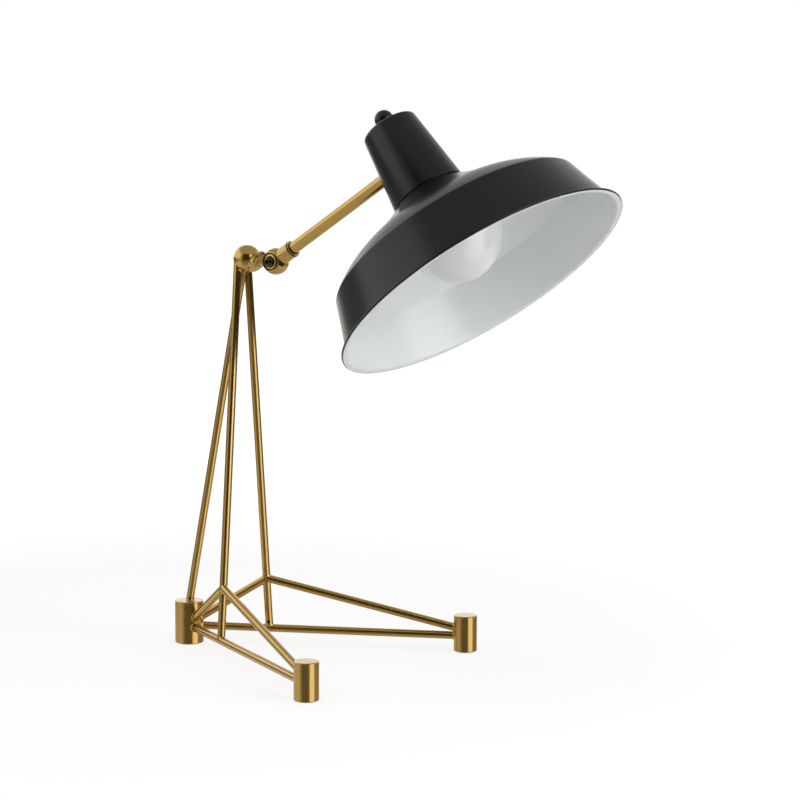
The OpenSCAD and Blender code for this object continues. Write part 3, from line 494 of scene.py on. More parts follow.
def recast(node: str, name: str, body: Body, material: Material, sharp_deg: float = 32.0) -> None:
    """Stands a merged, smooth-shaded copy of a brass CAD node in its place.

    Args:
        node: The CAD node.
        name: The piece's name.
        body: The body that carries it.
        material: What it wears.
        sharp_deg: Edges sharper than this stay crisp.
    """
    mesh = frame["nodes"][node].data.copy()
    mesh.name = name
    work = bmesh.new()
    work.from_mesh(mesh)
    bmesh.ops.remove_doubles(work, verts=work.verts, dist=COPY_MERGE)
    bmesh.ops.dissolve_degenerate(work, edges=work.edges, dist=SLIVER)
    work.to_mesh(mesh)
    work.free()
    mesh.materials.clear()
    mesh.materials.append(material)
    tidy(mesh, sharp_deg)
    piece = stand(name, mesh)
    piece.modifiers.new("even", "WEIGHTED_NORMAL").keep_sharp = True
    graph = bpy.context.evaluated_depsgraph_get()
    piece.data = bpy.data.meshes.new_from_object(piece.evaluated_get(graph))
    piece.modifiers.clear()
    settle(piece, body, [node])


def arc(centre: Flat, radius: float, start: float, stop: float, steps: int) -> list[Flat]:
    """Points on an arc.

    Args:
        centre: Its centre.
        radius: Its radius.
        start: First angle in degrees.
        stop: Last angle in degrees.
        steps: How many pieces it has.

    Returns:
        steps + 1 points.
    """
    angles = (math.radians(start + (stop - start) * i / steps) for i in range(steps + 1))
    return [(centre[0] + radius * math.cos(a), centre[1] + radius * math.sin(a)) for a in angles]


def rounded(corners: Sequence[tuple[float, float, float]], steps: int) -> list[Flat]:
    """A closed outline whose corners are rounded.

    Args:
        corners: Each corner's two coordinates and its radius, 0 for a crisp one.
        steps: Pieces in each round corner.

    Returns:
        The outline's points.
    """
    points: list[Flat] = []
    for i, (x, y, radius) in enumerate(corners):
        here = Vector((x, y))
        if radius == 0:
            points.append((x, y))
            continue
        before = (Vector(corners[i - 1][:2]) - here).normalized()
        after = (Vector(corners[(i + 1) % len(corners)][:2]) - here).normalized()
        half = before.angle(after) / 2
        setback = radius / math.tan(half)
        centre = here + (before + after).normalized() * (radius / math.sin(half))
        first = here + before * setback - centre
        turn = first.angle_signed(here + after * setback - centre)
        for k in range(steps + 1):
            angle = -turn * k / steps
            x_arm = first.x * math.cos(angle) - first.y * math.sin(angle)
            y_arm = first.x * math.sin(angle) + first.y * math.cos(angle)
            points.append((centre.x + x_arm, centre.y + y_arm))
    return points


def bowed(start: Flat, end: Flat, bow: float, steps: int) -> list[Flat]:
    """Points from start up to end, without end, bowed to the right of the way.

    Args:
        start: First point.
        end: Last point, left out.
        bow: Height of the bow, less than 0 to the left.
        steps: How many points.

    Returns:
        The points.
    """
    way = Vector(end) - Vector(start)
    right = Vector((way.y, -way.x)).normalized()
    found = []
    for i in range(steps):
        u = i / steps
        p = Vector(start) + u * way + 4 * bow * u * (1 - u) * right
        found.append((p.x, p.y))
    return found


def lathe(name: str, outline: Sequence[Flat], place: Matrix, closed: bool = True) -> Piece:
    """Turns an outline about a frame's Z axis.

    Args:
        name: The piece's name.
        outline: Points as (radius, height).
        place: The frame to turn in.
        closed: True if the outline's last point joins its first.

    Returns:
        The piece.
    """
    on_axis = 1e-9
    points: list[Vector] = []
    rings: list[list[int]] = []
    for radius, height in outline:
        if radius <= on_axis:
            rings.append([len(points)] * LATHE_STEPS)
            points.append(place @ Vector((0.0, 0.0, height)))
            continue
        rings.append(list(range(len(points), len(points) + LATHE_STEPS)))
        for k in range(LATHE_STEPS):
            a = math.tau * k / LATHE_STEPS
            points.append(place @ Vector((radius * math.cos(a), radius * math.sin(a), height)))
    faces: list[list[int]] = []
    for low, high in zip(rings, rings[1:] + rings[:1] if closed else rings[1:]):
        for k in range(LATHE_STEPS):
            j = (k + 1) % LATHE_STEPS
            face = list(dict.fromkeys([low[k], low[j], high[j], high[k]]))
            if len(face) > 2:
                faces.append(face)
    return new_piece(name, points, faces)


class GeometryTree(Tree):
    """A geometry node tree with named inputs, which is run once and left as a plain mesh."""

    kinds = {float: "NodeSocketFloat", int: "NodeSocketInt", Material: "NodeSocketMaterial"}

    def __init__(self, name: str, inputs: dict[str, float | int | Material]) -> None:
        """Starts the tree.

        Args:
            name: The tree's name.
            inputs: The value of each named input.
        """
        super().__init__(bpy.data.node_groups.new(name, "GeometryNodeTree"))
        face = self.tree.interface
        face.new_socket("Geometry", in_out="INPUT", socket_type="NodeSocketGeometry")
        face.new_socket("Geometry", in_out="OUTPUT", socket_type="NodeSocketGeometry")
        self.values: dict[str, object] = {}
        for key, value in inputs.items():
            socket = face.new_socket(key, in_out="INPUT", socket_type=self.kinds[type(value)])
            self.values[socket.identifier] = value
        self.given = {s.name: s for s in self.add("NodeGroupInput").outputs if s.name}
        self.end = self.add("NodeGroupOutput").inputs[0]

    def wear(self, result: Socket, material: str, chosen: Socket | None = None) -> Socket:
        """Sets a material.

        Args:
            result: The geometry.
            material: Name of the input that holds the material.
            chosen: Which faces get it, or None for all.

        Returns:
            The dressed geometry.
        """
        inputs = {"Geometry": result, "Material": self.given[material]}
        if chosen is not None:
            inputs["Selection"] = chosen
        return self.add("GeometryNodeSetMaterial", inputs).outputs[0]

    def run(
        self, result: Socket, place: Matrix, name: str, seed: bpy.types.Mesh, sharp_deg: float
    ) -> Piece:
        """Ends the tree in a frame, runs it on a mesh and keeps the result as a plain piece.

        Args:
            result: The geometry.
            place: The frame that it is moved into.
            name: The piece's name.
            seed: The mesh that the tree starts from.
            sharp_deg: Edges sharper than this stay crisp.

        Returns:
            The piece.
        """
        moved = {0: result, "Translation": place.translation, "Rotation": place.to_euler()}
        real = {0: self.add("GeometryNodeTransform", moved).outputs[0]}
        self.feed(self.end, self.add("GeometryNodeRealizeInstances", real).outputs[0])
        source = stand(name + "_seed", seed)
        modifier = source.modifiers.new("build", "NODES")
        modifier.node_group = self.tree
        for identifier, value in self.values.items():
            modifier[identifier] = value
        graph = bpy.context.evaluated_depsgraph_get()
        mesh = bpy.data.meshes.new_from_object(source.evaluated_get(graph), depsgraph=graph)
        source.modifiers.remove(modifier)
        bpy.data.objects.remove(source)
        mesh.name = name
        tidy(mesh, sharp_deg)
        return stand(name, mesh)


@dataclass(frozen=True)
class Layout:
    """The lamp's main lines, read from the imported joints."""

    ball: Vector
    arm_axis: Vector
    head_axis: Vector
    mouth: Vector

    @staticmethod
    def read(knob_rise: float) -> "Layout":
        """Reads the joints.

        Args:
            knob_rise: Distance of the knob's centre from the shade's mouth.

        Returns:
            The layout.
        """
        joints = {j["name"]: j for j in frame["joints"]}
        head_axis = Vector(joints["switch_turn"]["axis"]).normalized()
        return Layout(
            ball=Vector(joints["arm_tilt"]["pos_m"]),
            arm_axis=Vector(joints["arm_roll"]["axis"]).normalized(),
            head_axis=head_axis,
            mouth=Vector(joints["switch_turn"]["pos_m"]) - knob_rise * head_axis,
        )

    def head(self, rise: float = 0.0) -> Matrix:
        """The frame of the head, Z from the shade's mouth up to the knob, moved up by a rise."""
        return frame_at(self.mouth + self.head_axis * rise, self.head_axis)

    def arm(self) -> Matrix:
        """The frame of the arm: Z from the knuckle ball to the neck."""
        return frame_at(self.ball, self.arm_axis)


@dataclass
class SubAssembly:
    """What each part of the lamp is built with: its main lines and the shared shader groups."""

    layout: Layout
    groups: SurfaceGroups


@dataclass(frozen=True)
class Rod:
    """A round rod between two points."""

    start: Vector
    end: Vector
    radius: float

    def distance(self, point: Vector) -> float:
        """Distance from the rod's surface.

        Args:
            point: Where it is measured.

        Returns:
            The distance, less than 0 inside.
        """
        axis = self.end - self.start
        t = min(1.0, max(0.0, (point - self.start).dot(axis) / axis.length_squared))
        return (point - self.start - t * axis).length - self.radius

    def flipped(self) -> "Rod":
        """The same rod, run the other way."""
        return Rod(self.end, self.start, self.radius)


@dataclass(frozen=True)
class Stub:
    """An upright round bar on the floor, as each foot is."""

    x: float
    y: float
    radius: float
    height: float

    def distance(self, point: Vector) -> float:
        """Distance from the bar's surface.

        Args:
            point: Where it is measured.

        Returns:
            The distance, less than 0 inside.
        """
        out = math.hypot(point.x - self.x, point.y - self.y) - self.radius
        up = point.z - self.height
        return max(out, up) if max(out, up) <= 0 else math.hypot(max(out, 0.0), max(up, 0.0))


@dataclass(frozen=True)
class Ball:
    """A ball."""

    centre: Vector
    radius: float

    def distance(self, point: Vector) -> float:
        """Distance of a point from the ball's surface, less than 0 inside."""
        return (point - self.centre).length - self.radius


Solid = Rod | Stub | Ball
Joint = tuple[Rod, Sequence[Solid]]


@dataclass(frozen=True)
class Braze:
    """A hollow-faced fillet of brazing metal round the end of a rod."""

    leg: float = 1.5 * MM
    sink: float = 0.05 * MM
    root_sinks: float = 4
    fullness: float = 0.12
    steps: int = 72
    facets: int = 5
    probe: float = 0.02 * MM
    marches: int = 240
    halvings: int = 24
    landings: int = 3
    flat_wall: float = 0.05
    sharp_deg: float = 60.0

    @staticmethod
    def _nearest(solids: Sequence[Solid], point: Vector) -> float:
        """Distance to the nearest of several solids."""
        return min(s.distance(point) for s in solids)

    def _outward(self, solids: Sequence[Solid], point: Vector) -> Vector:
        """Direction in which the distance to the solids grows fastest.

        Args:
            solids: The solids.
            point: Where it is measured.

        Returns:
            The direction, of length 1.
        """
        steps = (self.probe * Vector(axis) for axis in ((1, 0, 0), (0, 1, 0), (0, 0, 1)))
        slope = [self._nearest(solids, point + s) - self._nearest(solids, point - s) for s in steps]
        return Vector(slope).normalized()

    def _meet(self, rod: Rod, side: Vector, solids: Sequence[Solid]) -> Vector:
        """The point where a line on the rod's surface runs into the solids.

        Args:
            rod: The rod, whose end is at the joint.
            side: The line's offset from the axis.
            solids: What the rod is joined to.

        Returns:
            The point.
        """
        along = rod.end - rod.start
        clear, inside = 0.5, None
        for k in range(self.marches + 1):
            t = 0.5 + 0.5 * k / self.marches
            if self._nearest(solids, rod.start + t * along + side) <= 0:
                inside = t
                break
            clear = t
        if inside is None:
            return rod.end + side
        for _ in range(self.halvings):
            middle = (clear + inside) / 2
            if self._nearest(solids, rod.start + middle * along + side) <= 0:
                inside = middle
            else:
                clear = middle
        return rod.start + clear * along + side

    def ring(self, rod: Rod, solids: Sequence[Solid]) -> tuple[list[Vector], list[list[int]]]:
        """The fillet's mesh.

        Args:
            rod: The rod, whose end is at the joint.
            solids: What the rod is joined to.

        Returns:
            Vertices and faces.
        """
        axis = (rod.end - rod.start).normalized()
        across = axis.orthogonal().normalized()
        other = axis.cross(across)
        points: list[Vector] = []
        for k in range(self.steps):
            a = math.tau * k / self.steps
            out = math.cos(a) * across + math.sin(a) * other
            root = self._meet(rod, rod.radius * out, solids)
            wall = self._outward(solids, root)
            up_rod = -axis
            up_wall = out - out.dot(wall) * wall
            up_wall = up_wall.normalized() if up_wall.length > self.flat_wall else out
            on_rod = root + self.leg * up_rod - self.sink * out
            on_wall = root + self.leg * up_wall
            for _ in range(self.landings):
                on_wall = on_wall - self._nearest(solids, on_wall) * self._outward(solids, on_wall)
            on_wall = on_wall - self.sink * self._outward(solids, on_wall)
            pull = root + self.fullness * self.leg * (up_rod + up_wall)
            for i in range(self.facets + 1):
                u = i / self.facets
                points.append((1 - u) ** 2 * on_rod + 2 * u * (1 - u) * pull + u * u * on_wall)
            points.append(root - self.root_sinks * self.sink * (out + wall))
        section = self.facets + 2
        faces = []
        for k in range(self.steps):
            j = (k + 1) % self.steps
            for i in range(section):
                n = (i + 1) % section
                faces.append([k * section + i, k * section + n, j * section + n, j * section + i])
        return points, faces

    def piece(self, name: str, joints: Sequence[Joint]) -> Piece:
        """One piece with the fillets of several joints.

        Args:
            name: The piece's name.
            joints: For each joint the rod and what it is joined to.

        Returns:
            The piece.
        """
        points: list[Vector] = []
        faces: list[list[int]] = []
        for rod, solids in joints:
            more, sides = self.ring(rod, solids)
            faces += [[i + len(points) for i in f] for f in sides]
            points += more
        return new_piece(name, points, faces, self.sharp_deg)


@dataclass
class BaseFrame(SubAssembly):
    """The three feet and the braced rods between them and the hub ball."""

    rod_r: float = 4.25 * MM
    rear_r: float = 15.5 * MM
    rear_h: float = 46.6 * MM
    far_r: float = 12.5 * MM
    far_h: float = 39.4 * MM
    run: float = 301.4 * MM
    spread: float = math.radians(27.5)
    rail_low: float = 16.9 * MM
    rail_high: float = 19.4 * MM
    post: float = 88.6 * MM
    brace_z: float = 74.0 * MM
    outer_z: float = 23.1 * MM
    inner_z: float = 20.8 * MM
    hub: Vector = Vector((82.4 * MM, 0.0, 419.0 * MM))
    hub_r: float = 14.6 * MM
    leg_back: float = 5.9 * MM
    leg_pitch: float = 8.9 * MM
    leg_drop: float = 11.0 * MM

    def _on_rail(self, side: int, run: float, z: float | None = None) -> Vector:
        """A point on a rail's axis, or above or below it.

        Args:
            side: LEFT or RIGHT.
            run: Distance from the rear foot's axis.
            z: Its height, or None for the rail's own.

        Returns:
            The point.
        """
        level = self.rail_high + (self.rail_low - self.rail_high) * run / self.run
        across = side * run * math.sin(self.spread)
        return Vector((run * math.cos(self.spread), across, level if z is None else z))

    def _leg(self, side: int) -> Rod:
        """A leg from its foot up to the hub ball.

        Args:
            side: LEFT or RIGHT, or 0 for the rear leg.

        Returns:
            The leg.
        """
        low = Vector((0.0, 0.0, self.rear_h)) if side == 0 else self._on_rail(side, self.post)
        top = self.hub + Vector((-self.leg_back, side * self.leg_pitch, -self.leg_drop))
        return Rod(low, top, self.rod_r)

    def _rods(self, side: int) -> dict[str, Rod]:
        """The rods on one side.

        Args:
            side: LEFT or RIGHT.

        Returns:
            The rods, under their names without the side's word.
        """
        leg = self._leg(side)
        rise, height = self.brace_z - leg.start.z, leg.end.z - leg.start.z
        peak = leg.start + (leg.end - leg.start) * rise / height
        return {
            "leg": leg,
            "rail": Rod(self._on_rail(side, 0.0), self._on_rail(side, self.run), self.rod_r),
            "outer_brace": Rod(peak, self._on_rail(side, self.run, self.outer_z), self.rod_r),
            "inner_brace": Rod(peak, self._on_rail(side, 0.0, self.inner_z), self.rod_r),
        }

    def _fillets(self) -> dict[str, list[Joint]]:
        """Every brazed joint.

        Returns:
            The joints, under the name of their piece.
        """
        rear = Stub(0.0, 0.0, self.rear_r, self.rear_h)
        hub = Ball(self.hub, self.hub_r)
        rear_leg = self._leg(0)
        root = rear_leg.start - Vector((0.0, 0.0, self.rear_h / 8))
        found: dict[str, list[Joint]] = {
            "foot_fillets": [(Rod(rear_leg.end, root, self.rod_r), [rear])],
            "rail_fillets": [],
            "brace_fillets": [],
            "hub_fillets": [(rear_leg, [hub])],
        }
        for side in (LEFT, RIGHT):
            leg, rail, outer, inner = self._rods(side).values()
            far = Stub(rail.end.x, rail.end.y, self.far_r, self.far_h)
            found["foot_fillets"] += [
                (rail, [far]),
                (rail.flipped(), [rear]),
                (outer, [far, rail]),
                (inner, [rear, rail]),
            ]
            found["rail_fillets"].append((leg.flipped(), [rail]))
            found["brace_fillets"] += [(outer.flipped(), [leg]), (inner.flipped(), [leg])]
            found["hub_fillets"].append((leg, [hub]))
        return found

    def build(self) -> None:
        """Dresses the rods and feet and adds the brazing."""
        rods = {"rear_leg": self._leg(0)}
        for side, word in ((LEFT, "front_"), (RIGHT, "right_")):
            rods |= {word + name: rod for name, rod in self._rods(side).items()}
        for node, rod in rods.items():
            place = frame_at(rod.start, rod.end - rod.start)
            dress(BRASS.metal(self.groups, Grain.DRAWN, "_" + node, place), node)
        far = self.run
        feet = {"rear_foot": (RIGHT, 0.0), "front_foot": (LEFT, far), "right_foot": (RIGHT, far)}
        for node, (side, run) in feet.items():
            place = Matrix.Translation(self._on_rail(side, run, 0.0))
            dress(BRASS.metal(self.groups, Grain.TURNED, "_" + node, place), node)
        ball = BRASS.metal(self.groups, Grain.TURNED, "_hub", Matrix.Translation(self.hub))
        recast("hub_ball", "round_hub", Body.BASE, ball)
        dress(PAD_RUBBER.skin(self.groups), "foot_pads")
        dress(BLACK_RING.skin(self.groups, "_grommet"), "cord_grommet")
        metal = BRASS.metal(self.groups, Grain.DRAWN, "_braze")
        for name, joints in self._fillets().items():
            settle(Braze().piece(name, joints), Body.BASE, material=metal)


@dataclass
class Knuckle(SubAssembly):
    """The link, the slotted ball with its pivot, and the black rings."""

    ring_s: float = 25.2 * MM
    ring_r: float = 8.05 * MM
    ring_round: float = 1.05 * MM

    def build(self) -> None:
        """Makes the collar's ring and dresses every piece of the knuckle."""
        arm = self.layout.arm()
        across = frame_at(self.layout.ball, Vector((0.0, -1.0, 0.0)))
        forward = frame_at(self.layout.ball, Vector((1.0, 0.0, 0.0)))
        rubber = BLACK_RING.skin(self.groups)
        outline = arc((self.ring_r, self.ring_s), self.ring_round, 0.0, 360.0, steps=24)[:-1]
        band = lathe("collar_band", outline, arm)
        settle(band, Body.KNUCKLE, ["collar_ring"], rubber)
        dress(rubber, "tongue_washers", "pivot_ring")
        link = BRASS.metal(self.groups, Grain.TURNED, "_link", forward)
        recast("knuckle_link", "turned_link", Body.BASE, link)
        ball = BRASS.metal(self.groups, Grain.TURNED, "_knuckle", arm)
        recast("knuckle_ball", "slotted_ball", Body.KNUCKLE, ball)
        fixings = {"pivot_screw": "_pivot", "pivot_nut": "_nut", "collar_set_screw": "_grub"}
        for node, suffix in fixings.items():
            dress(DARK_STEEL.metal(self.groups, Grain.TURNED, suffix, across), node)


@dataclass
class Arm(SubAssembly):
    """The brass tube with its spigot and the threaded nipple at its end."""

    def build(self) -> None:
        """Dresses the arm's pieces."""
        place = self.layout.arm()
        dress(BRASS.metal(self.groups, Grain.DRAWN, "_arm", place), "arm_tube", "arm_spigot")
        zinc = ZINC_STEEL.metal(self.groups, Grain.TURNED, "_arm", place)
        dress(zinc, "arm_nipple", "nipple_washer", "nipple_nut")


@dataclass
class Neck(SubAssembly):
    """The tapered cup behind the shade, its flared ring and the switch with its ball knob."""

    low: float = 108.5 * MM
    top: float = 191.0 * MM
    low_r: float = 38.5 * MM
    top_r: float = 28.7 * MM
    corner: float = 4.0 * MM
    wall: float = 1.5 * MM
    flange: float = 2.5 * MM
    throat: float = 27.0 * MM
    bush_r: float = 3.65 * MM
    foot_round: float = 0.7 * MM
    edge_round: float = 0.2 * MM
    inner_round: float = 0.3 * MM
    crown: float = 103.2 * MM
    crown_r: float = 44.6 * MM
    ring_r: float = 37.6 * MM
    ring_hollow: float = 0.8 * MM

    def _cup(self) -> Piece:
        """The cup, open at its foot and round at its top edge.

        Returns:
            The piece.
        """
        flange_s = self.low + self.flange
        taper, height = self.low_r - self.top_r, self.top - self.low
        cone_r = self.low_r - taper * (flange_s - self.low) / height
        corners = [
            (self.throat, self.low, self.edge_round),
            (self.low_r, self.low, self.foot_round),
            (self.top_r, self.top, self.corner),
            (self.bush_r, self.top, self.edge_round),
            (self.bush_r, self.top - self.wall, self.edge_round),
            (self.top_r - self.wall, self.top - self.wall, self.corner - self.wall),
            (cone_r - self.wall, flange_s, self.inner_round),
            (self.throat, flange_s, self.edge_round),
        ]
        return lathe("neck_cup", rounded(corners, steps=8), self.layout.head())

    def _ring(self) -> Piece:
        """The flared ring between the shade's crown and the cup, a little under the cup's edge.

        Returns:
            The piece.
        """
        edge = (self.ring_r, self.low)
        flare = bowed((self.crown_r, self.crown), edge, -self.ring_hollow, steps=12)
        outline = [(self.throat, self.crown), *flare, edge, (self.throat, self.low)]
        return lathe("flare_ring", outline, self.layout.head())

    def build(self) -> None:
        """Makes the cup and ring and dresses the switch."""
        paint = SATIN_BLACK.skin(self.groups, "_neck")
        for piece, node in ((self._cup(), "neck"), (self._ring(), "shade_ring")):
            settle(piece, Body.HEAD, [node], paint)
        dress(paint, "switch_knob")
        zinc = ZINC_STEEL.metal(self.groups, Grain.TURNED, "_switch", self.layout.head())
        dress(zinc, "switch_nut", "switch_shaft", "knob_set_screw")
        dress(zinc, "shade_screws", "holder_bracket", "holder_screws")
        dress(SWITCH_PLASTIC.skin(self.groups), "switch_body")


@dataclass
class SpunShade(SubAssembly):
    """The wide shade: one spun sheet, black outside, white inside, with a round bead at its lip."""

    rim_r: float = 157.28 * MM
    bead_r: float = 1.4 * MM
    lip_r: float = 151.2 * MM
    lip_s: float = 0.4 * MM
    lip_bend: float = 1.7 * MM
    shoulder_r: float = 134.6 * MM
    shoulder_s: float = 54.0 * MM
    bend_r: float = 93.0 * MM
    bend_s: float = 79.0 * MM
    crown_r: float = 44.6 * MM
    crown_s: float = 103.2 * MM
    throat_r: float = 27.0 * MM
    skirt_bow: float = 0.2 * MM
    shoulder_round: float = 1.6 * MM
    paint_start: float = -76.0
    paint_stop: float = 172.0
    dome_bow: float = 2.3 * MM
    flare_bow: float = 1.2 * MM
    sheet: float = 1.0 * MM
    segments: int = 256
    wheel: float = 0.1
    lining_from: float = 0.4
    sharp_deg: float = 20.0

    def _sheet(self) -> list[Flat]:
        """The sheet's outer face from the bead to the throat.

        Returns:
            Its points.
        """
        back = self.lip_s + self.sheet
        centre = (self.lip_r + self.lip_bend, back + self.lip_bend)
        lean = math.degrees(math.atan2(self.lip_r - self.shoulder_r, self.shoulder_s - centre[1]))
        bend = arc(centre, self.lip_bend, -90.0, lean - 180.0, steps=8)
        shoulder, hollow = (self.shoulder_r, self.shoulder_s), (self.bend_r, self.bend_s)
        crown = (self.crown_r, self.crown_s)
        skirt = bowed(bend[-1], shoulder, -self.skirt_bow, steps=14)
        dome = bowed(shoulder, hollow, self.dome_bow, steps=16)
        turn = [(*skirt[-1], 0.0), (*shoulder, self.shoulder_round), (*dome[1], 0.0)]
        eased = rounded(turn, steps=6)[1:-1]
        return [
            (self.rim_r - 2 * self.bead_r, back),
            *bend[:-1],
            *skirt,
            *eased,
            *dome[1:],
            *bowed(hollow, crown, -self.flare_bow, steps=16),
            crown,
            (self.throat_r, self.crown_s),
        ]

    @staticmethod
    def _moved(points: Sequence[Flat], reach: float) -> list[Flat]:
        """An outline moved to its left.

        Args:
            points: The outline.
            reach: How far.

        Returns:
            The moved points.
        """
        last = len(points) - 1
        found = []
        for i, p in enumerate(points):
            way = Vector(points[min(i + 1, last)]) - Vector(points[max(i - 1, 0)])
            q = Vector(p) - reach * Vector((way.y, -way.x)).normalized()
            found.append((q.x, q.y))
        return found

    def _seed(self) -> bpy.types.Mesh:
        """The closed outline as a chain of edges, with its inner face marked.

        Returns:
            The mesh.
        """
        sheet = self._sheet()
        bead = (self.rim_r - self.bead_r, self.bead_r)
        front = math.degrees(math.asin((self.lip_s - self.bead_r) / self.bead_r))
        skin = arc(bead, self.bead_r, self.paint_start, self.paint_stop, steps=20) + sheet
        lip = arc(bead, self.bead_r, -180.0 - front, self.paint_start, steps=10)[:-1]
        lining = list(reversed(self._moved(sheet, self.sheet)[1:])) + lip
        points = [(r - self.wheel, -s, 0.0) for r, s in skin + lining]
        mesh = bpy.data.meshes.new("shade_outline")
        mesh.from_pydata(points, [(i, (i + 1) % len(points)) for i in range(len(points))], [])
        marks = mesh.attributes.new("lining", "FLOAT", "POINT")
        marks.data.foreach_set("value", [0.0] * len(skin) + [1.0] * len(lining))
        return mesh

    def build(self) -> None:
        """Spins the sheet and dresses both faces."""
        inputs = {
            "Wheel": self.wheel,
            "Segments": self.segments,
            "Outside": SATIN_BLACK.skin(self.groups, "_shade"),
            "Inside": WHITE_ENAMEL.skin(self.groups),
        }
        tree = GeometryTree("spun_sheet", inputs)
        profile = tree.add("GeometryNodeMeshToCurve", {"Mesh": tree.given["Geometry"]})
        round_way = {"Resolution": tree.given["Segments"], "Radius": tree.given["Wheel"]}
        circle = tree.add("GeometryNodeCurvePrimitiveCircle", round_way)
        upright = tree.add("GeometryNodeSetCurveNormal", {"Curve": circle.outputs[0]}, mode="Z_UP")
        swept = {"Curve": upright.outputs[0], "Profile Curve": profile.outputs[0]}
        painted = tree.wear(tree.add("GeometryNodeCurveToMesh", swept).outputs[0], "Outside")
        mark = tree.add("GeometryNodeInputNamedAttribute", {"Name": "lining"}, data_type="FLOAT")
        marked = {"A": mark.outputs["Attribute"], "B": self.lining_from}
        above = {"data_type": "FLOAT", "operation": "GREATER_THAN"}
        inside = tree.add("FunctionNodeCompare", marked, **above)
        lined = tree.wear(painted, "Inside", inside.outputs[0])
        piece = tree.run(lined, self.layout.head(), "shade_shell", self._seed(), self.sharp_deg)
        settle(piece, Body.HEAD, ["shade"])


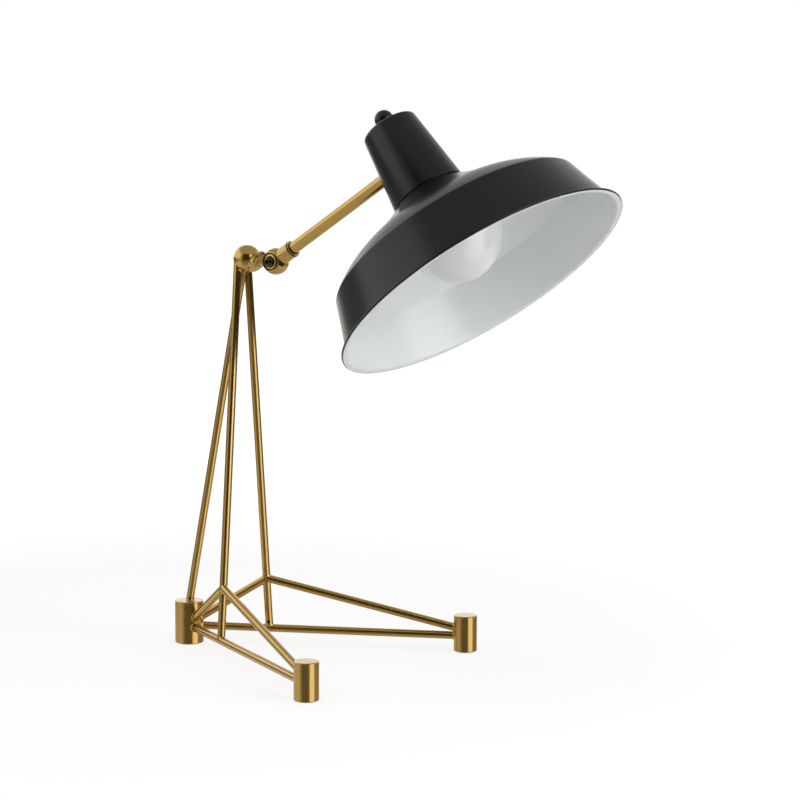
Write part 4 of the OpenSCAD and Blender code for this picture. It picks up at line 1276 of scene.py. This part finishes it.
@dataclass
class BulbAndHolder(SubAssembly):
    """The lampholder in the neck and the opal globe bulb that screws into it."""

    globe_r: float = 47.5 * MM
    globe_s: float = 58.5 * MM
    stem_r: float = 14.8 * MM
    hollow_r: float = 14.0 * MM
    glass: float = 1.0 * MM
    stem_step: float = 0.5 * MM
    cap_low: float = 119.0 * MM
    cap_r: float = 13.0 * MM
    cap_wall: float = 0.65 * MM
    stem_in_cap: float = 4.0 * MM
    thread_pitch: float = 3.6 * MM
    thread_turns: float = 5.6
    thread_ridge: float = 0.34 * MM
    thread_rise: float = 1.2 * MM
    thread_steps: int = 48
    thread_facets: int = 8
    holder_r: float = 19.5 * MM
    rib_count: int = 48
    rib_facets: int = 8
    rib_low: float = 119.0 * MM
    rib_length: float = 16.0 * MM
    rib_r: float = 0.45 * MM

    def _globe(self) -> Piece:
        """The blown globe with its neck, as a closed shell of glass.

        Returns:
            The piece.
        """
        reach = self.stem_r + self.hollow_r
        hollow_s = self.globe_s + math.sqrt((self.globe_r + self.hollow_r) ** 2 - reach ** 2)
        turn = math.degrees(math.atan2(hollow_s - self.globe_s, reach))
        middle, bend = (0.0, self.globe_s), (reach, hollow_s)
        ball = arc(middle, self.globe_r, -90.0, turn, steps=64)
        hollow = arc(bend, self.hollow_r, 180.0 + turn, 180.0, steps=12)
        end_r, end_s = self.cap_r - self.cap_wall, self.cap_low + self.stem_in_cap
        tail = [(self.stem_r, self.cap_low - self.stem_step), (end_r, self.cap_low), (end_r, end_s)]
        inner_tail = [(end_r - self.glass, end_s), (end_r - self.glass, self.cap_low - self.glass)]
        inner_hollow = arc(bend, self.hollow_r + self.glass, 180.0, 180.0 + turn, steps=12)
        inner_ball = arc(middle, self.globe_r - self.glass, turn, -90.0, steps=64)
        shell = ball[:-1] + hollow + tail + inner_tail + inner_hollow + inner_ball[1:]
        outline = [(max(0.0, r), s) for r, s in shell]
        return lathe("opal_globe", outline, self.layout.head(), closed=False)

    def _thread(self, metal: Material) -> Piece:
        """The rolled thread of the bulb's cap.

        Args:
            metal: What it wears.

        Returns:
            The piece.
        """
        inputs = {
            "Radius": self.cap_r - self.thread_ridge / 3,
            "Turns": self.thread_turns,
            "Height": self.thread_pitch * self.thread_turns,
            "Ridge": self.thread_ridge,
            "Metal": metal,
        }
        tree = GeometryTree("rolled_thread", inputs)
        wound = {
            "Resolution": self.thread_steps,
            "Rotations": tree.given["Turns"],
            "Start Radius": tree.given["Radius"],
            "End Radius": tree.given["Radius"],
            "Height": tree.given["Height"],
        }
        spiral = tree.add("GeometryNodeCurveSpiral", wound)
        ridge = {"Resolution": self.thread_facets, "Radius": tree.given["Ridge"]}
        section = tree.add("GeometryNodeCurvePrimitiveCircle", ridge)
        swept = {"Curve": spiral.outputs[0], "Profile Curve": section.outputs[0], "Fill Caps": True}
        dressed = tree.wear(tree.add("GeometryNodeCurveToMesh", swept).outputs[0], "Metal")
        place = self.layout.head(self.cap_low + self.thread_rise)
        seed = bpy.data.meshes.new("thread_seed")
        return tree.run(dressed, place, "cap_thread", seed, sharp_deg=80.0)

    def _ribs(self, glaze: Material) -> Piece:
        """The grip ribs round the lampholder.

        Args:
            glaze: What they wear.

        Returns:
            The piece.
        """
        inputs = {
            "Count": self.rib_count,
            "Radius": self.holder_r,
            "Rib": self.rib_r,
            "Length": self.rib_length,
            "Glaze": glaze,
        }
        tree = GeometryTree("grip_ribs", inputs)
        places = {"Vertices": tree.given["Count"], "Radius": tree.given["Radius"]}
        ring = tree.add("GeometryNodeMeshCircle", places)
        sizes = {"Radius": tree.given["Rib"], "Depth": tree.given["Length"]}
        rib = tree.add("GeometryNodeMeshCylinder", {"Vertices": self.rib_facets, **sizes})
        copies = {"Points": ring.outputs[0], "Instance": rib.outputs[0]}
        dressed = tree.wear(tree.add("GeometryNodeInstanceOnPoints", copies).outputs[0], "Glaze")
        place = self.layout.head(self.rib_low + self.rib_length / 2)
        seed = bpy.data.meshes.new("rib_seed")
        return tree.run(dressed, place, "holder_ribs", seed, sharp_deg=35.0)

    def build(self) -> None:
        """Makes the globe, thread and ribs and dresses the rest."""
        place = self.layout.head()
        settle(self._globe(), Body.HEAD, ["bulb_globe"], OPAL_GLASS.skin(self.groups))
        cap = CAP_METAL.metal(self.groups, Grain.TURNED, "", place)
        dress(cap, "bulb_cap", "bulb_contact")
        settle(self._thread(cap), Body.HEAD)
        glaze = CERAMIC.skin(self.groups)
        dress(glaze, "lampholder")
        settle(self._ribs(glaze), Body.HEAD)
        contact = BRASS.metal(self.groups, Grain.TURNED, "_contact", place)
        dress(contact, "socket_shell", "centre_contact")


@dataclass(frozen=True)
class Softbox:
    """A lamp of the studio: a lit rectangle that faces the object."""

    name: str
    azimuth: float
    elevation: float
    reach: float
    width: float
    height: float
    radiance: float


@dataclass(frozen=True)
class Card:
    """A card that stands round the object, seen by its reflections alone.

    The angles are degrees to the right of the camera; low and high are heights.
    """

    name: str
    start: float
    end: float
    reach: float
    low: float
    high: float
    radiance: float
    tint: Colour = WHITE


@dataclass
class Studio:
    """The pale floor, the white surround, the soft lamps, the cards and the camera."""

    centre: Vector = Vector((0.25, 0.0, 0.28))
    softboxes: tuple[Softbox, ...] = (
        Softbox("right_softbox", 97.0, 18.0, 2.3, 1.2, 1.9, 3.2),
        Softbox("left_softbox", 335.0, 20.0, 2.4, 1.0, 1.8, 1.2),
        Softbox("top_softbox", 10.0, 76.0, 2.2, 1.5, 1.5, 1.1),
    )
    cards: tuple[Card, ...] = (
        Card("left_low_card", -97.0, -42.0, 3.2, 0.0, 0.6, 0.58),
        Card("left_rear_low_card", -150.0, -97.0, 3.2, 0.0, 0.6, 0.20),
        Card("left_card", -145.0, -58.0, 3.25, 0.6, 3.5, 1.40),
        Card("front_card", -42.0, 29.0, 3.2, 0.0, 3.6, 0.05, (1.0, 0.82, 0.35)),
        Card("right_strip", 29.0, 74.0, 3.2, 0.0, 3.0, 2.75, (1.0, 1.03, 1.12)),
        Card("right_back_card", 74.0, 148.0, 3.2, 0.0, 0.9, 0.10),
        Card("right_back_high_card", 74.0, 148.0, 3.25, 0.9, 2.6, 1.05),
        Card("back_card", 148.0, 212.0, 3.2, 0.0, 1.2, 1.35),
        Card("front_backing", -45.0, 45.0, 5.0, 0.0, 5.0, 0.50),
        Card("right_backing", 45.0, 135.0, 5.0, 0.0, 5.0, 0.80),
        Card("rear_backing", 135.0, 225.0, 5.0, 0.0, 5.0, 0.75),
        Card("left_backing", -135.0, -45.0, 5.0, 0.0, 5.0, 0.60),
    )
    ceiling_height: float = 5.0
    ceiling_grey: float = 0.60
    world_fill: float = 0.46
    floor_reach: float = 30.0
    floor_gap: float = 0.05 * MM
    floor_near: float = 0.80
    fade: Flat = (0.5, 1.6)
    veil_grey: float = 0.24
    floor_grey: float = 0.72
    polish_tint: Colour = (0.74, 0.715, 0.65)
    polish_rough: float = 0.2
    floor_gloss: float = 0.60
    floor_polish: float = 0.39
    camera_at: Vector = Vector((1.61136, -1.88433, 0.53024))
    camera_side: float = 36.0
    camera_azimuth: float = math.radians(125.26)
    camera_look: Vector = Vector((-0.57400, 0.81189, -0.10657))
    camera_roll: float = math.radians(0.198)
    lens: float = 103.913
    sensor: float = 36.0
    near_clip: float = 0.05
    far_clip: float = 100.0

    @staticmethod
    def _direction(azimuth: float, elevation: float) -> Vector:
        """Direction from the object to a place round it, both angles in degrees."""
        a, e = math.radians(azimuth), math.radians(elevation)
        return Vector((math.sin(a) * math.cos(e), -math.cos(a) * math.cos(e), math.sin(e)))

    @staticmethod
    def _seen(tree: Tree) -> Socket:
        """Finds the rays that show the background: camera, glossy and transmission.

        Args:
            tree: The tree that it is asked in.

        Returns:
            1 for such a ray and 0 for any other.
        """
        path = tree.add("ShaderNodeLightPath").outputs
        pair = tree.sum("MAXIMUM", path["Is Camera Ray"], path["Is Glossy Ray"])
        return tree.sum("MAXIMUM", pair, path["Is Transmission Ray"])

    @staticmethod
    def _pick(tree: Tree, test: Socket, otherwise: Socket, then: Socket) -> Socket:
        """One shader where the test is 0 and another where it is 1."""
        return tree.add("ShaderNodeMixShader", {0: test, 1: otherwise, 2: then}).outputs[0]

    @staticmethod
    def _matt(tree: Tree, grey: float) -> Socket:
        """A plain matt grey."""
        return tree.add("ShaderNodeBsdfDiffuse", {"Color": (grey, grey, grey, 1.0)}).outputs[0]

    def _floor(self) -> None:
        """A wide pale floor that keeps the lamp's shadow."""
        material, tree = new_material("floor_white")
        spot = tree.add("ShaderNodeTexCoord").outputs["Object"]
        reach = tree.add("ShaderNodeVectorMath", {0: spot}, operation="LENGTH").outputs["Value"]
        fade = tree.rescale(reach, self.fade, (self.floor_near, 1.0))
        glow = tree.add("ShaderNodeEmission", {"Strength": fade}).outputs[0]
        veil = self._matt(tree, self.veil_grey)
        shown = tree.add("ShaderNodeAddShader", {0: glow, 1: veil}).outputs[0]
        lacquer = {"Color": (*self.polish_tint, 1.0), "Roughness": self.polish_rough}
        polish = tree.add("ShaderNodeBsdfGlossy", lacquer).outputs[0]
        slant = tree.add("ShaderNodeLayerWeight").outputs["Facing"]
        share = tree.sum("ADD", tree.sum("MULTIPLY", slant, self.floor_gloss), self.floor_polish)
        glossy = tree.add("ShaderNodeLightPath").outputs["Is Glossy Ray"]
        seen = self._pick(tree, tree.sum("MULTIPLY", glossy, share), shown, polish)
        choice = self._pick(tree, self._seen(tree), self._matt(tree, self.floor_grey), seen)
        tree.add("ShaderNodeOutputMaterial", {"Surface": choice})
        r, z = self.floor_reach, -self.floor_gap
        corners_at = [Vector((x, y, z)) for x, y in ((-r, -r), (r, -r), (r, r), (-r, r))]
        floor = new_piece("floor", corners_at, [(0, 1, 2, 3)])
        floor.data.materials.append(material)

    def _world(self) -> None:
        """A white surround to look at, and a softer one to be lit by."""
        world = bpy.data.worlds.new("surround")
        bpy.context.scene.world = world
        world.use_nodes = True
        tree = Tree(world.node_tree)
        light, shown = (
            tree.add("ShaderNodeBackground", {"Color": (*WHITE, 1.0), "Strength": strength})
            for strength in (self.world_fill, 1.0)
        )
        choice = self._pick(tree, self._seen(tree), light.outputs[0], shown.outputs[0])
        tree.add("ShaderNodeOutputWorld", {"Surface": choice})

    def _lamps(self) -> None:
        """Hangs the soft lamps."""
        for box in self.softboxes:
            away = self._direction(box.azimuth, box.elevation)
            data = bpy.data.lights.new(box.name, "AREA")
            data.shape = "RECTANGLE"
            data.size, data.size_y = box.width, box.height
            data.energy = box.radiance * math.pi * box.width * box.height
            lamp = stand(box.name, data)
            lamp.location = self.centre + box.reach * away
            lamp.rotation_mode = "QUATERNION"
            lamp.rotation_quaternion = (-away).to_track_quat("-Z", "Y")
            lamp.visible_camera = False
            lamp.visible_glossy = False

    @staticmethod
    def _panel(name: str, corners_at: Sequence[Vector], radiance: float, tint: Colour) -> None:
        """A lit panel that only reflections see.

        Args:
            name: Its name.
            corners_at: Its four corners in order.
            radiance: How bright it is.
            tint: Its colour.
        """
        material, tree = new_material(name)
        glow = tree.add("ShaderNodeEmission", {"Color": (*tint, 1.0), "Strength": radiance})
        tree.add("ShaderNodeOutputMaterial", {"Surface": glow.outputs[0]})
        panel = new_piece(name, corners_at, [(0, 1, 2, 3)])
        panel.data.materials.append(material)
        panel.visible_camera = False
        panel.visible_diffuse = False
        panel.visible_shadow = False
        panel.visible_transmission = False

    def _cards(self) -> None:
        """Stands the cards that the metal and paint reflect, under a grey ceiling."""
        for card in self.cards:
            away = self._direction(self.camera_side + (card.start + card.end) / 2, 0.0)
            half = math.tan(math.radians((card.end - card.start) / 2))
            side = away.cross(Vector((0, 0, 1))) * card.reach * half
            foot = self.centre + card.reach * away
            ends = (foot - side, foot + side)
            low, high = ([Vector((p.x, p.y, z)) for p in ends] for z in (card.low, card.high))
            self._panel(card.name, [low[0], low[1], high[1], high[0]], card.radiance, card.tint)
        r, z = 2 * self.ceiling_height, self.ceiling_height
        corners_at = [Vector((x, y, z)) for x, y in ((-r, -r), (-r, r), (r, r), (r, -r))]
        self._panel("ceiling", corners_at, self.ceiling_grey, WHITE)

    def _camera(self) -> None:
        """Sets the camera at the photograph's viewing angle."""
        right = Vector((math.sin(self.camera_azimuth), -math.cos(self.camera_azimuth), 0.0))
        look = self.camera_look.normalized()
        up = right.cross(look)
        c, s = math.cos(self.camera_roll), math.sin(self.camera_roll)
        turn = Matrix((c * right + s * up, c * up - s * right, -look)).transposed()
        data = bpy.data.cameras.new("camera")
        data.sensor_width, data.lens = self.sensor, self.lens
        data.clip_start, data.clip_end = self.near_clip, self.far_clip
        camera = stand("camera", data)
        camera.matrix_world = Matrix.Translation(self.camera_at) @ turn.to_4x4()
        bpy.context.scene.camera = camera

    def build(self) -> None:
        """Sets up the whole studio."""
        self._camera()
        self._floor()
        self._world()
        self._cards()
        self._lamps()
        bpy.context.scene.view_settings.view_transform = "Standard"
        LOG.info("studio with %d softboxes and %d cards", len(self.softboxes), len(self.cards))


def corners(box: tuple[Vector, Vector]) -> list[list[float]]:
    """A box as plain lists of numbers."""
    return [list(box[0]), list(box[1])]


def main() -> None:
    """Builds the lamp and the studio in order."""
    logging.basicConfig(level=logging.INFO, format="%(name)s: %(message)s")
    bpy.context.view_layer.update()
    groups = SurfaceGroups()
    layout = Layout.read(knob_rise=200.4 * MM)
    Studio().build()
    for part in (BaseFrame, Knuckle, Arm, Neck, SpunShade, BulbAndHolder):
        part(layout, groups).build()


if __name__ == "__main__":
    main()
